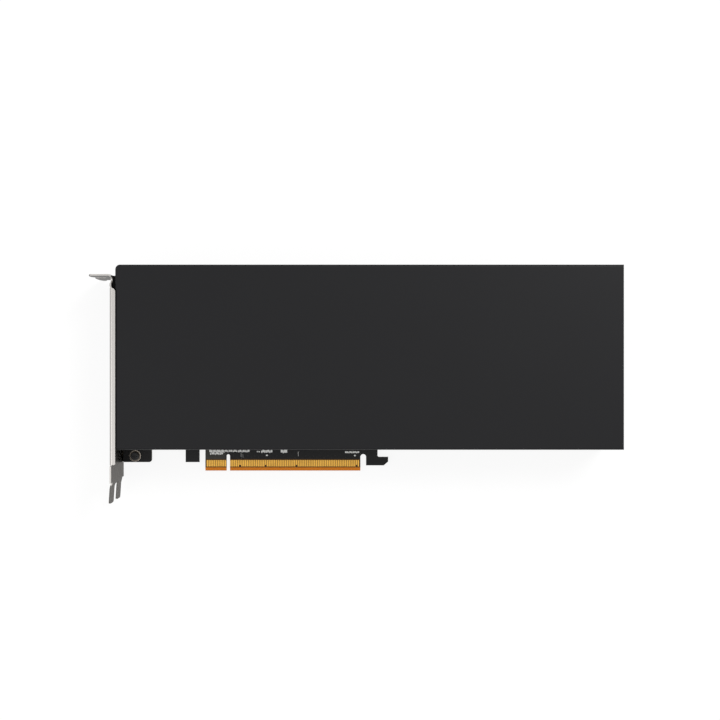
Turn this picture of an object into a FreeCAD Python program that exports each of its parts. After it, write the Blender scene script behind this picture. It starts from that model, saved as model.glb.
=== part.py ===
import FreeCAD, Part

import os
import re

import Sketcher
from FreeCAD import Vector

# Passive accelerator card, two slots wide, lying on its back.
#
# The card's own corner is the outer face of the bracket (x), the lower edge of the edge tongue (y) and
# the rear edge of the bracket (z).  X runs along the card to its tail, Y up to its top edge and Z out
# through the shroud's face.  Each body is drawn from that corner, and its Placement moves it so that
# the origin of the whole card is the middle of its footprint.

SIZES = [
    # The card and its slots
    ("card_length", 267.7, "outer face of the bracket to the tail end of the shroud"),
    ("slot_width", 18.42, "width of a bracket for one slot"),
    ("slot_pitch", 20.32, "one slot to the next"),
    ("board_rise", 2.67, "rear edge of the bracket to the back of the board"),
    ("thread_clearance", 0.05, "between a screw and its tapped hole"),
    ("hole_clearance", 0.2, "between a screw and a hole that it passes freely"),
    ("sink_angle", 45.0, "slope of countersunk heads and of their holes, in degrees"),
    ("cut_past", 1.0, "how far a cut runs past the metal"),
    # Circuit board
    ("board_thick", 1.57, "thickness of the board"),
    ("board_gap", 0.04, "between the board's end and the bend of the bracket's ears"),
    ("board_end", 266.2, "end of the board at the tail"),
    ("board_low", 13.6, "lower edge of the board beside the tongue"),
    ("board_high", 111.15, "top edge of the board"),
    ("board_corner", 1.0, "radius of the board's top corners"),
    ("key_centre", 59.05, "middle of the key notch in the tongue"),
    ("key_width", 1.9, "width of the key notch"),
    ("key_depth", 9.0, "depth of the key notch"),
    ("short_tongue", 11.65, "tongue before the key notch"),
    ("long_tongue", 71.65, "tongue after the key notch"),
    ("bevel_height", 1.8, "height of the bevel on the tongue's edge"),
    ("bevel_depth", 0.5, "depth of the bevel into each face"),
    ("latch_gap", 3.15, "gap between the tongue and the latch hook"),
    ("latch_gap_top", 9.1, "top of that gap"),
    ("latch_neck", 6.3, "width of the hook's neck"),
    ("latch_reach", 12.1, "length of the hook"),
    ("latch_low", 2.9, "lower edge of the hook"),
    ("latch_ledge", 7.55, "upper edge of the hook's toe"),
    ("latch_cut_length", 2.4, "slope under the toe, along the card"),
    ("latch_cut_height", 2.1, "slope under the toe, across the card"),
    ("latch_round", 0.9, "radius in the corner between neck and toe"),
    ("tab_start", 35.6, "near side of the small tab before the tongue"),
    ("tab_end", 43.2, "far side of the small tab"),
    ("tab_low", 4.7, "lower edge of the small tab"),
    ("foot_end", 17.0, "far side of the foot at the bracket"),
    ("foot_low", 4.7, "lower edge of the foot"),
    ("foot_round", 1.5, "radius of the foot's outer corner"),
    # Gold contacts on the tongue
    ("contact_pitch", 1.0, "one contact to the next"),
    ("contact_width", 0.7, "width of a contact"),
    ("contact_thick", 0.05, "thickness of a contact"),
    ("contact_top", 5.8, "upper end of the contacts"),
    ("contact_foot", 2.3, "lower end of the contacts"),
    ("sense_foot", 3.2, "lower end of the short contacts that sense the card"),
    ("key_margin", 0.55, "edge of the key notch to the middle of the next contact"),
    # Mounting bracket
    ("bracket_sheet", 0.86, "thickness of the bracket's sheet"),
    ("bracket_height", 120.02, "upper face of the lip to the tips of the prongs"),
    ("bracket_top", 105.5, "upper face of the lip above the tongue's lower edge"),
    ("bend_round", 0.4, "inside radius of the bracket's bends"),
    ("lip_reach", 11.43, "reach of the lip out from the plate"),
    ("lip_corner_width", 4.0, "slope at the corners of the lip, along the edge"),
    ("lip_corner_depth", 1.25, "slope at the corners of the lip, into the edge"),
    ("lip_slot_width", 4.42, "width of the screw notches in the lip"),
    ("lip_slot_reach", 6.35, "plate to the middle of the fixing screws"),
    ("lip_slot_rise", 3.05, "rear edge to the middle of the first screw notch"),
    ("flange_width", 2.95, "width of the flange along the front edge"),
    ("flange_low", 6.2, "lower end of the flange"),
    ("flange_high", 98.3, "upper end of the flange"),
    ("flange_round", 2.0, "radius of the flange's upper corner"),
    ("flange_cut", 0.7, "radius of the flange's lower corner"),
    ("bend_slit", 0.9, "slit at each end of the flange"),
    ("bend_slit_depth", 1.6, "depth of those slits"),
    ("relief_width", 3.4, "notch in the plate under the lip"),
    ("relief_depth", 3.7, "depth of that notch"),
    ("shoulder_low", -3.4, "lower edge of the plate at the prongs"),
    ("prong_width", 10.19, "width of a prong"),
    ("prong_gap_top", -4.8, "top of the gap between the prongs"),
    ("prong_round", 1.4, "radius of the prongs' corners"),
    ("jog_low", -6.5, "lower end of the step in the prongs"),
    ("jog_depth", 0.7, "depth of the step in the prongs"),
    ("flare_depth", 0.5, "further lean of the prongs at their tips"),
    ("vent_width", 2.8, "width of a vent slot"),
    ("vent_length", 12.6, "length of a vent slot"),
    ("vent_pitch", 4.8, "one row of vent slots to the next"),
    ("vent_high", 95.0, "no row of vent slots lies above this"),
    ("vent_low", 17.8, "lowest row of vent slots"),
    ("vent_bridge", 2.6, "sheet between the two columns of vent slots"),
    ("vent_shift", 0.9, "vent columns above the middle of the plate"),
    # Ears that hold the board, with their screws
    ("ear_width", 6.5, "width of an ear"),
    ("ear_reach", 11.6, "reach of an ear from the plate's outer face"),
    ("ear_corner", 1.6, "radius of an ear's corners"),
    ("ear_slit", 0.6, "slit beside an ear"),
    ("ear_slit_past", 0.1, "those slits past the ear's bend"),
    ("ear_hole_reach", 7.9, "plate's outer face to the middle of an ear's hole"),
    ("ear_low", 8.15, "middle of the lower ear, on the foot"),
    ("ear_high", 95.5, "middle of the upper ear"),
    ("ear_screw_radius", 1.25, "radius of an ear screw's shank"),
    ("ear_head_radius", 2.35, "radius of an ear screw's head"),
    ("ear_head_height", 1.5, "height of an ear screw's head"),
    ("ear_head_round", 0.5, "rounding of an ear screw's head"),
    ("washer_radius", 3.1, "outer radius of an ear screw's washer"),
    ("washer_thick", 0.45, "thickness of that washer"),
    ("recess_length", 2.6, "length of the cross in a screw's head"),
    ("recess_width", 0.7, "width of the cross in a screw's head"),
    ("recess_depth", 0.7, "depth of the cross in a screw's head"),
    # Shroud
    ("shroud_nose", 2.84, "end of the shroud above the bracket's flange"),
    ("shroud_low", 14.05, "lower edge of the shroud"),
    ("shroud_high", 110.5, "upper edge of the shroud"),
    ("shroud_sheet", 1.2, "thickness of the shroud"),
    ("shroud_bend", 1.2, "outside radius along the shroud's face"),
    ("shroud_corner", 2.5, "radius of the shroud's upper corner at the bracket"),
    ("shroud_hover", 0.3, "between the shroud's walls and the board"),
    ("flange_gap", 0.72, "between the shroud and the bracket's flange"),
    ("side_clearance", 0.3, "between the shroud's walls and the base frame"),
    ("shroud_screw_start", 40.0, "first screw in the shroud's walls"),
    ("shroud_screw_pitch", 103.0, "one screw in the walls to the next"),
    ("shroud_screw_rise", 4.0, "those screws above the board's face"),
    ("shroud_screw_radius", 1.0, "radius of their shanks"),
    ("shroud_screw_length", 3.6, "length of these screws"),
    # Base frame between board and heat sink
    ("frame_start", 16.0, "end of the frame at the bracket"),
    ("frame_gap", 5.26, "board's face to the underside of the frame's plate"),
    ("frame_plate", 2.0, "thickness of the frame's plate"),
    ("rail_width", 2.5, "width of the rails along the board's edges"),
    ("window_side", 74.0, "side of the window for the package"),
    ("window_round", 3.0, "radius in the window's corners"),
    ("post_width", 8.0, "width of the posts at the tail"),
    ("post_length", 10.7, "length of the posts at the tail"),
    ("post_height", 27.8, "height of the posts at the tail"),
    ("extender_radius", 1.25, "radius of the tapped holes for an extender"),
    ("extender_depth", 8.0, "depth of those holes"),
    ("extender_rise", 9.0, "lower pair of those holes above the board's face"),
    ("extender_pitch", 14.0, "lower pair to upper pair"),
    # Screws through backplate and board into the frame
    ("column_start", 24.0, "first column of board screws"),
    ("column_pitch", 76.0, "one column to the next"),
    ("row_low", 20.0, "lower row of board screws"),
    ("row_high", 105.0, "upper row of board screws"),
    ("board_screw_radius", 1.25, "radius of a board screw's shank"),
    ("board_head_radius", 2.4, "radius of a board screw's head"),
    ("board_head_depth", 1.15, "depth of a board screw's head"),
    ("board_screw_length", 8.6, "length of a board screw"),
    ("frame_boss_radius", 3.2, "radius of the frame's bosses"),
    ("backplate_boss_radius", 2.9, "radius of the backplate's bosses"),
    ("backplate_land_radius", 5.0, "radius of the lands round the backplate's screws"),
    # Backplate and its film
    ("backplate_start", 14.0, "end of the backplate at the bracket"),
    ("backplate_thick", 1.5, "thickness of the backplate"),
    ("backplate_window", 77.0, "side of the window for the retention plate"),
    ("backplate_round", 4.0, "radius of the corners of backplate and window"),
    ("backplate_edge", 0.4, "chamfer round the backplate's outer face"),
    ("film_thick", 0.25, "thickness of the insulating film"),
    ("film_margin", 1.0, "film's edge inside the backplate's edges"),
    # Processor package
    ("package_centre", 112.0, "middle of the package along the card"),
    ("package_height", 62.3, "middle of the package above the tongue's edge"),
    ("substrate_side", 55.0, "side of the package's substrate"),
    ("substrate_thick", 1.8, "substrate with its solder"),
    ("die_length", 26.0, "processor die along the card"),
    ("die_width", 33.0, "processor die across the card"),
    ("die_thick", 0.8, "thickness of die and memory stacks"),
    ("stack_length", 10.0, "memory stack along the card"),
    ("stack_width", 10.6, "memory stack across the card"),
    ("stack_gap", 0.9, "between stacks, and between stacks and die"),
    ("stack_count", 3, "memory stacks on each side of the die"),
    ("stiffener_width", 2.0, "width of the stiffener ring"),
    ("interface_thick", 0.16, "thickness of the thermal interface"),
    # Heat sink
    ("sink_start", 20.0, "end of the heat sink at the bracket"),
    ("sink_end", 240.0, "end of the heat sink at the tail"),
    ("sink_base", 3.0, "thickness of the heat sink's base"),
    ("sink_margin", 0.4, "base plate outside the outermost fins"),
    ("pedestal_margin", 1.0, "pedestal inside the stiffener ring"),
    ("fin_pitch", 2.0, "one fin to the next"),
    ("fin_sheet", 0.4, "thickness of a fin"),
    ("fin_joint", 0.05, "between a fin's folds and the next fin"),
    ("sink_side_gap", 2.2, "least gap between the fins and the base frame's edges"),
    ("sink_hover", 0.34, "between the fins and the shroud's face"),
    # Retention of the heat sink
    ("retention_span", 66.0, "one retention screw to the next"),
    ("retention_post_radius", 3.0, "radius of the heat sink's posts"),
    ("retention_post_hover", 0.25, "between those posts and the board"),
    ("retention_radius", 1.4, "radius of a retention screw's shank"),
    ("retention_head_radius", 2.8, "radius of a retention screw's head"),
    ("retention_head_height", 0.85, "height of a retention screw's head"),
    ("retention_inset", 0.1, "screw heads below the backplate's outer face"),
    ("retention_reach", 7.6, "length of a retention screw's shank"),
    ("retention_sheet", 1.0, "thickness of the retention plate"),
    ("retention_arm", 9.6, "width of the retention plate's arms"),
    ("retention_pad_side", 20.0, "side of the pad behind the package"),
    # Power parts round the package
    ("supply_count", 8, "supply phases on each side of the package"),
    ("supply_pitch", 8.2, "one phase to the next"),
    ("inductor_offset", 46.0, "package to the inductors"),
    ("inductor_side", 7.0, "side of an inductor"),
    ("inductor_height", 4.2, "height of an inductor"),
    ("stage_offset", 53.6, "package to the power stages"),
    ("stage_length", 5.0, "power stage along the card"),
    ("stage_width", 6.0, "power stage across the card"),
    ("stage_height", 0.9, "height of a power stage"),
    ("capacitor_offset", 61.2, "package to the capacitors"),
    ("capacitor_radius", 3.15, "radius of a capacitor"),
    ("capacitor_height", 5.0, "height of a capacitor"),
    ("capacitor_base", 0.7, "height of a capacitor's square base"),
    # Power connector at the tail
    ("plug_pitch", 4.2, "one contact of the power connector to the next"),
    ("plug_columns", 4, "contacts in a row"),
    ("plug_wall", 1.2, "outer wall of the connector's housing"),
    ("plug_socket", 3.6, "side of a contact's socket"),
    ("plug_depth", 11.5, "depth of a socket"),
    ("plug_start", 249.5, "back of the housing"),
    ("plug_end", 264.6, "mouth of the housing"),
    ("plug_centre", 85.0, "middle of the housing across the card"),
    ("plug_rise", 0.7, "housing's lower wall added below its sockets"),
    ("plug_gap", 0.6, "between the housing and the frame"),
    ("latch_ramp_width", 4.4, "width of the ramp that the plug's latch grips"),
    ("latch_ramp_length", 5.0, "length of that ramp"),
    ("latch_ramp_height", 1.3, "height of that ramp"),
    ("latch_ramp_inset", 1.0, "foot of that ramp inside the housing's mouth"),
    ("pin_side", 1.0, "side of a power pin"),
    ("pin_inset", 2.5, "tips of the pins inside the housing's mouth"),
    ("pin_first_leg", 1.6, "lower pins' legs behind the housing"),
    ("pin_second_leg", 5.1, "upper pins' legs behind the housing"),
    ("pin_tail", 0.5, "pins below the back of the board"),
    ("pin_hole_radius", 0.78, "radius of the board's holes for the pins"),
    # Support chips
    ("chip_near", 33.0, "support chips at the bracket's end"),
    ("chip_far", 206.0, "support chips at the tail's end"),
    ("chip_low", 42.0, "lower support chips"),
    ("chip_high", 84.0, "upper support chips"),
    ("chip_side", 12.0, "side of a support chip"),
    ("chip_height", 1.3, "height of a support chip"),
]

DOC = FreeCAD.newDocument("accelerator_card")
SHEET = DOC.addObject("Spreadsheet::Sheet", "sizes")

# Heights above the bracket's rear edge, and places along and across the card, in the sheet's words.
BRACKET_WIDTH = "(slot_width + slot_pitch)"
BOARD_FRONT = "(board_rise + board_thick)"
BOARD_START = "(bracket_sheet + bend_round + board_gap)"
TONGUE_START = "(key_centre - key_width / 2 - short_tongue)"
TONGUE_END = "(key_centre + key_width / 2 + long_tongue)"
LATCH_START = f"({TONGUE_END} + latch_gap)"
PRONG_TIP = "(bracket_top - bracket_height)"
SHROUD_START = "(flange_width + flange_gap)"
FRAME_TOP = "(frame_gap + frame_plate)"
FRAME_LOW = "(shroud_low + shroud_sheet + side_clearance)"
FRAME_HIGH = "(shroud_high - shroud_sheet - side_clearance)"
PACKAGE_TOP = "(substrate_thick + die_thick + interface_thick)"
SINK_MIDDLE = "((shroud_low + shroud_high) / 2)"
FIN_COUNT = f"floor(({FRAME_HIGH} - {FRAME_LOW} - 2 * sink_side_gap) / fin_pitch)"
SHORT_COUNT = "(floor((short_tongue - key_margin - contact_width / 2) / contact_pitch) + 1)"
LONG_COUNT = "(floor((long_tongue - key_margin - contact_width / 2) / contact_pitch) + 1)"
VENT_COUNT = "(floor((vent_high - vent_low) / vent_pitch) + 1)"
COLUMN_COUNT = "(floor((card_length - post_length - column_start) / column_pitch) + 1)"
SHROUD_SCREWS = "(floor((card_length - post_length - shroud_screw_start) / shroud_screw_pitch) + 1)"
SINK_SLOPE = "tan(sink_angle)"
FRONT_SENSE = (17, 31, 48, 81)
BACK_SENSE = (1,)
PLUG_WIDTH = "(plug_columns * plug_pitch + 2 * plug_wall - (plug_pitch - plug_socket))"
PLUG_HEIGHT = "(plug_rise + 2 * plug_wall + plug_pitch + plug_socket)"
PIN_LOW_RISE = "(plug_rise + plug_wall + plug_socket / 2)"
PIN_ROWS = ((PIN_LOW_RISE, "pin_first_leg"), (f"({PIN_LOW_RISE} + plug_pitch)", "pin_second_leg"))
CENTRE_X = "((card_length - lip_reach) / 2)"
CENTRE_Y = f"((board_high + {PRONG_TIP}) / 2)"


def fill_sheet():
    """Writes each size into the sheet, one row each, under its alias."""
    for row, (alias, size, meaning) in enumerate(SIZES, start=1):
        SHEET.set(f"A{row}", alias)
        SHEET.set(f"B{row}", str(size))
        SHEET.set(f"C{row}", meaning)
        SHEET.setAlias(f"B{row}", alias)
    DOC.recompute()


def bound(text):
    """The expression with each size read from the sheet: every size has an underscore in its name."""
    return re.sub(r"[a-z]+(?:_[a-z]+)+", r"sizes.\g<0>", text)


def number(text):
    """What an expression comes to now."""
    result = SHEET.evalExpression(bound(text))
    return float(getattr(result, "Value", result))


def count(text):
    """A size or an expression that counts pieces."""
    return round(number(text))


# Bodies, sketches and features

def new_body(name, rise="0"):
    """A sub-part's body, whose own z = 0 lies at the height rise."""
    body = DOC.addObject("PartDesign::Body", name)
    body.Label = name
    body.setExpression("Placement.Base.x", bound(f"-{CENTRE_X}"))
    body.setExpression("Placement.Base.y", bound(f"-{CENTRE_Y}"))
    body.setExpression("Placement.Base.z", bound(rise))
    return body


def datum(body, role):
    """One of the body's own origin planes or axes."""
    return next(item for item in body.Origin.OriginFeatures if item.Role == role)


def new_sketch(body, name, plane="XY_Plane", offset="0"):
    """A sketch on one of the body's origin planes, moved by offset along the plane's normal.

    XY_Plane looks along +Z.  YZ_Plane has y and z as its axes and looks along +X.  XZ_Plane has x and z
    as its axes and looks along -Y.
    """
    sketch = body.newObject("Sketcher::SketchObject", name)
    sketch.AttachmentSupport = [(datum(body, plane), "")]
    sketch.MapMode = "FlatFace"
    sketch.setExpression("AttachmentOffset.Base.z", bound(offset))
    return sketch


def tie(sketch, constraints):
    """Adds constraints together, each tied to its expression where it has one."""
    first = sketch.ConstraintCount
    sketch.addConstraint([constraint for constraint, _ in constraints])
    for index, (_, text) in enumerate(constraints, start=first):
        if text:
            sketch.setExpression(f"Constraints[{index}]", bound(text))


def at_place(geometry, point, place):
    """Constraints that hold a point of the sketch at the two expressions of its place."""
    return [
        (Sketcher.Constraint(kind, -1, 1, geometry, point, number(text)), text)
        for kind, text in zip(("DistanceX", "DistanceY"), place)
    ]


def with_radius(geometry, radius):
    """The constraint that holds the radius of a circle or an arc."""
    return [(Sketcher.Constraint("Radius", geometry, number(radius)), radius)]


def polygon(sketch, places):
    """A closed outline of straight lines through the places."""
    points = [Vector(number(x), number(y), 0) for x, y in places]
    first = sketch.GeometryCount
    total = len(points)
    lines = [Part.LineSegment(points[i], points[(i + 1) % total]) for i in range(total)]
    sketch.addGeometry(lines, False)
    constraints = [
        (Sketcher.Constraint("Coincident", first + i, 2, first + (i + 1) % total, 1), "")
        for i in range(total)
    ]
    for i, place in enumerate(places):
        constraints += at_place(first + i, 1, place)
    tie(sketch, constraints)


def rectangle(sketch, low, high):
    """A rectangle from its low corner to its high corner."""
    polygon(sketch, [low, (high[0], low[1]), high, (low[0], high[1])])


def block(sketch, centre, length, width):
    """A rectangle round its centre."""
    x, y = centre
    low = (f"{x} - {length} / 2", f"{y} - {width} / 2")
    high = (f"{x} + {length} / 2", f"{y} + {width} / 2")
    rectangle(sketch, low, high)


def circle(sketch, centre, radius):
    """A circle."""
    middle = Vector(number(centre[0]), number(centre[1]), 0)
    index = sketch.addGeometry(Part.Circle(middle, Vector(0, 0, 1), number(radius)), False)
    tie(sketch, at_place(index, 3, centre) + with_radius(index, radius))


def slot(sketch, start, end, width):
    """A slot with round ends, whose arcs have their middles at start and end."""
    near = Vector(number(start[0]), number(start[1]), 0)
    far = Vector(number(end[0]), number(end[1]), 0)
    radius = number(width) / 2
    along = (far - near).normalize()
    aside = Vector(-along.y, along.x, 0) * radius
    far_arc = Part.Arc(far - aside, far + along * radius, far + aside)
    near_arc = Part.Arc(near + aside, near - along * radius, near - aside)
    left = Part.LineSegment(near + aside, far + aside)
    right = Part.LineSegment(far - aside, near - aside)
    first = sketch.addGeometry([far_arc, near_arc, left, right], False)[0]
    joins = [
        Sketcher.Constraint("Tangent", first + 2, 2, first, 2),
        Sketcher.Constraint("Tangent", first + 3, 1, first, 1),
        Sketcher.Constraint("Tangent", first + 3, 2, first + 1, 2),
        Sketcher.Constraint("Tangent", first + 2, 1, first + 1, 1),
        Sketcher.Constraint("Equal", first, first + 1),
    ]
    places = at_place(first, 3, end) + at_place(first + 1, 3, start)
    tie(sketch, [(join, "") for join in joins] + places + with_radius(first, f"{width} / 2"))


def cross(sketch, centre, length, width):
    """The outline of a cross recess."""
    x, y = centre
    arm = f"{length} / 2"
    half = f"{width} / 2"
    corners = [
        (arm, half), (half, half), (half, arm), (f"-{half}", arm), (f"-{half}", half), (f"-{arm}", half),
        (f"-{arm}", f"-{half}"), (f"-{half}", f"-{half}"), (f"-{half}", f"-{arm}"), (half, f"-{arm}"),
        (half, f"-{half}"), (arm, f"-{half}"),
    ]
    polygon(sketch, [(f"{x} + ({dx})", f"{y} + ({dy})") for dx, dy in corners])


def finish_feature(body, feature):
    """Makes a feature the body's tip and sees that it worked."""
    body.Tip = feature
    DOC.recompute()
    if "Invalid" in feature.State or "Error" in feature.State or feature.Shape.isNull():
        raise ValueError(f"{body.Label}: {feature.Name} failed")
    return feature


def pad(body, sketch, length, taper=""):
    """Adds the sketch's outline, along its plane's normal, wider or narrower by the angle of taper."""
    feature = body.newObject("PartDesign::Pad", f"{sketch.Name}_pad")
    feature.Profile = sketch
    feature.setExpression("Length", bound(length))
    if taper:
        feature.setExpression("TaperAngle", bound(taper))
    return finish_feature(body, feature)


def pocket(body, sketch, length, taper=""):
    """Cuts the sketch's outline out of the body, along its plane's normal."""
    before = body.Tip.Shape.Volume
    feature = body.newObject("PartDesign::Pocket", f"{sketch.Name}_cut")
    feature.Profile = sketch
    feature.Reversed = True
    feature.setExpression("Length", bound(length))
    if taper:
        feature.setExpression("TaperAngle", bound(taper))
    finish_feature(body, feature)
    if not feature.Shape.Volume < before:
        raise ValueError(f"{body.Label}: {feature.Name} cuts nothing")
    return feature


def row_of(body, feature, axis, pitch, copies):
    """Repeats a feature along one of the body's own axes."""
    pattern = body.newObject("PartDesign::LinearPattern", f"{feature.Name}_row")
    pattern.Originals = [feature]
    pattern.Direction = (datum(body, axis), [""])
    pattern.Mode = "Spacing"
    pattern.setExpression("Offset", bound(pitch))
    pattern.setExpression("Occurrences", bound(copies))
    return finish_feature(body, pattern)


def edges_along(shape, axis, places, tolerance=0.01):
    """Names of the straight edges that run along an axis and pass through one of the places.

    A place gives the two other coordinates, and the span in which the edge's middle lies.
    """
    names = []
    for index, edge in enumerate(shape.Edges, start=1):
        ends = [vertex.Point for vertex in edge.Vertexes]
        if len(ends) != 2 or edge.Curve.TypeId != "Part::GeomLine":
            continue
        others = [i for i in range(3) if i != axis]
        if any(abs(ends[0][i] - ends[1][i]) > tolerance for i in others):
            continue
        middle = (ends[0] + ends[1]) / 2
        for first, second, low, high in places:
            near = abs(middle[others[0]] - first) < tolerance and abs(middle[others[1]] - second) < tolerance
            if near and low < middle[axis] < high:
                names.append(f"Edge{index}")
    return names


def dress(body, kind, name, edges, size):
    """Rounds or slopes edges of the body's tip."""
    if not edges:
        raise ValueError(f"{body.Label}: {name} found no edge")
    base = body.Tip
    feature = body.newObject(f"PartDesign::{kind}", name)
    feature.Base = (base, edges)
    feature.setExpression("Radius" if kind == "Fillet" else "Size", bound(size))
    return finish_feature(body, feature)


def upright_edges(body, corners):
    """Names of the edges along Z that stand on the given corners."""
    shape = body.Tip.Shape
    everywhere = (-1000, 1000)
    places = [(number(x), number(y), *everywhere) for x, y in corners]
    return edges_along(shape, 2, places)


# Places that several pieces share

def ear_places():
    """The two ears' holes."""
    return [("ear_hole_reach", "ear_low"), ("ear_hole_reach", "ear_high")]


def board_screw_places():
    """The board screws, in columns and two rows."""
    return [
        (f"(column_start + {column} * column_pitch)", row)
        for column in range(count(COLUMN_COUNT))
        for row in ("row_low", "row_high")
    ]


def retention_places():
    """The four retention screws, round the package."""
    return [
        (f"(package_centre {side} retention_span / 2)", f"(package_height {rise} retention_span / 2)")
        for side in "-+"
        for rise in "-+"
    ]


def supply_places(offset):
    """A column of supply parts on each side of the package."""
    half = "(supply_count - 1) / 2"
    return [
        (f"(package_centre {side} {offset})", f"(package_height + ({phase} - {half}) * supply_pitch)")
        for side in "-+"
        for phase in range(count("supply_count"))
    ]


def pin_columns():
    """The power connector's columns of contacts, across the card."""
    half = "(plug_columns - 1) / 2"
    return [f"(plug_centre + ({column} - {half}) * plug_pitch)" for column in range(count("plug_columns"))]


# Board and contacts

def make_circuit_board():
    """The board with its tongue, latch hook, small tab, foot and holes."""
    body = new_body("circuit_board", "board_rise")
    outline = new_sketch(body, "board_outline")
    latch_end = f"{LATCH_START} + latch_reach"
    latch_neck_end = f"{LATCH_START} + latch_neck"
    polygon(outline, [
        (BOARD_START, "foot_low"),
        ("foot_end", "foot_low"),
        ("foot_end", "board_low"),
        ("tab_start", "board_low"),
        ("tab_start", "tab_low"),
        ("tab_end", "tab_low"),
        ("tab_end", "board_low"),
        (TONGUE_START, "board_low"),
        (TONGUE_START, "0"),
        (TONGUE_END, "0"),
        (LATCH_START, "latch_low"),
        (f"{latch_end} - latch_cut_length", "latch_low"),
        (latch_end, "latch_low + latch_cut_height"),
        (latch_end, "latch_ledge"),
        (latch_neck_end, "latch_ledge"),
        (latch_neck_end, "board_low"),
        ("board_end", "board_low"),
        ("board_end", "board_high"),
        (BOARD_START, "board_high"),
    ])
    pad(body, outline, "board_thick")
    corners = upright_edges(body, [("board_end", "board_high"), (BOARD_START, "board_high")])
    dress(body, "Fillet", "board_corners", corners, "board_corner")
    dress(body, "Fillet", "foot_corner", upright_edges(body, [("foot_end", "foot_low")]), "foot_round")
    hook_corner = upright_edges(body, [(latch_neck_end, "latch_ledge")])
    dress(body, "Fillet", "latch_corner", hook_corner, "latch_round")
    notches = new_sketch(body, "key_and_latch_gap")
    slot(notches, ("key_centre", "-key_width"), ("key_centre", "key_depth - key_width / 2"), "key_width")
    latch_middle = f"{TONGUE_END} + latch_gap / 2"
    slot(notches, (latch_middle, "-latch_gap"), (latch_middle, "latch_gap_top - latch_gap / 2"), "latch_gap")
    pocket(body, notches, "board_thick")
    bevels = new_sketch(body, "bevels", "YZ_Plane", TONGUE_START)
    polygon(bevels, [("0", "0"), ("bevel_height", "0"), ("0", "bevel_depth")])
    front_depth = "board_thick - bevel_depth"
    polygon(bevels, [("0", "board_thick"), ("0", front_depth), ("bevel_height", "board_thick")])
    pocket(body, bevels, f"{TONGUE_END} - {TONGUE_START}")
    holes = new_sketch(body, "board_holes")
    for place in ear_places():
        circle(holes, place, "ear_screw_radius + hole_clearance")
    for place in board_screw_places():
        circle(holes, place, "board_screw_radius + hole_clearance")
    for place in retention_places():
        circle(holes, place, "retention_radius + hole_clearance")
    for _, leg in PIN_ROWS:
        for across in pin_columns():
            circle(holes, (f"(plug_start - {leg})", across), "pin_hole_radius")
    pocket(body, holes, "board_thick")
    return body


def make_edge_contacts(name, rise, sense_positions):
    """One side's gold contacts in two rows, with the key notch between them.

    Positions count from the bracket, from 1.  The contacts that sense the card stop short of the others.
    """
    body = new_body(name, rise)
    last_short = "key_centre - key_width / 2 - key_margin"
    first_long = "key_centre + key_width / 2 + key_margin"
    rows = (
        ("short_row", f"{last_short} - ({SHORT_COUNT} - 1) * contact_pitch", SHORT_COUNT),
        ("long_row", first_long, LONG_COUNT),
    )
    for label, middle, copies in rows:
        sketch = new_sketch(body, label)
        low = (f"{middle} - contact_width / 2", "contact_foot")
        rectangle(sketch, low, (f"{middle} + contact_width / 2", "contact_top"))
        row_of(body, pad(body, sketch, "contact_thick"), "X_Axis", "contact_pitch", copies)
    feet = new_sketch(body, "sense_feet")
    for position in sense_positions:
        before_key = position <= count(SHORT_COUNT)
        neighbour = f"{last_short} - contact_pitch *" if before_key else f"{first_long} + contact_pitch *"
        steps = f"({SHORT_COUNT} - {position})" if before_key else f"({position} - {SHORT_COUNT} - 1)"
        middle = f"({neighbour} {steps})"
        low = (f"{middle} - contact_pitch / 2", "contact_foot - cut_past")
        rectangle(feet, low, (f"{middle} + contact_pitch / 2", "sense_foot"))
    pocket(body, feet, "contact_thick")
    return body


# Bracket with its screws

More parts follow.
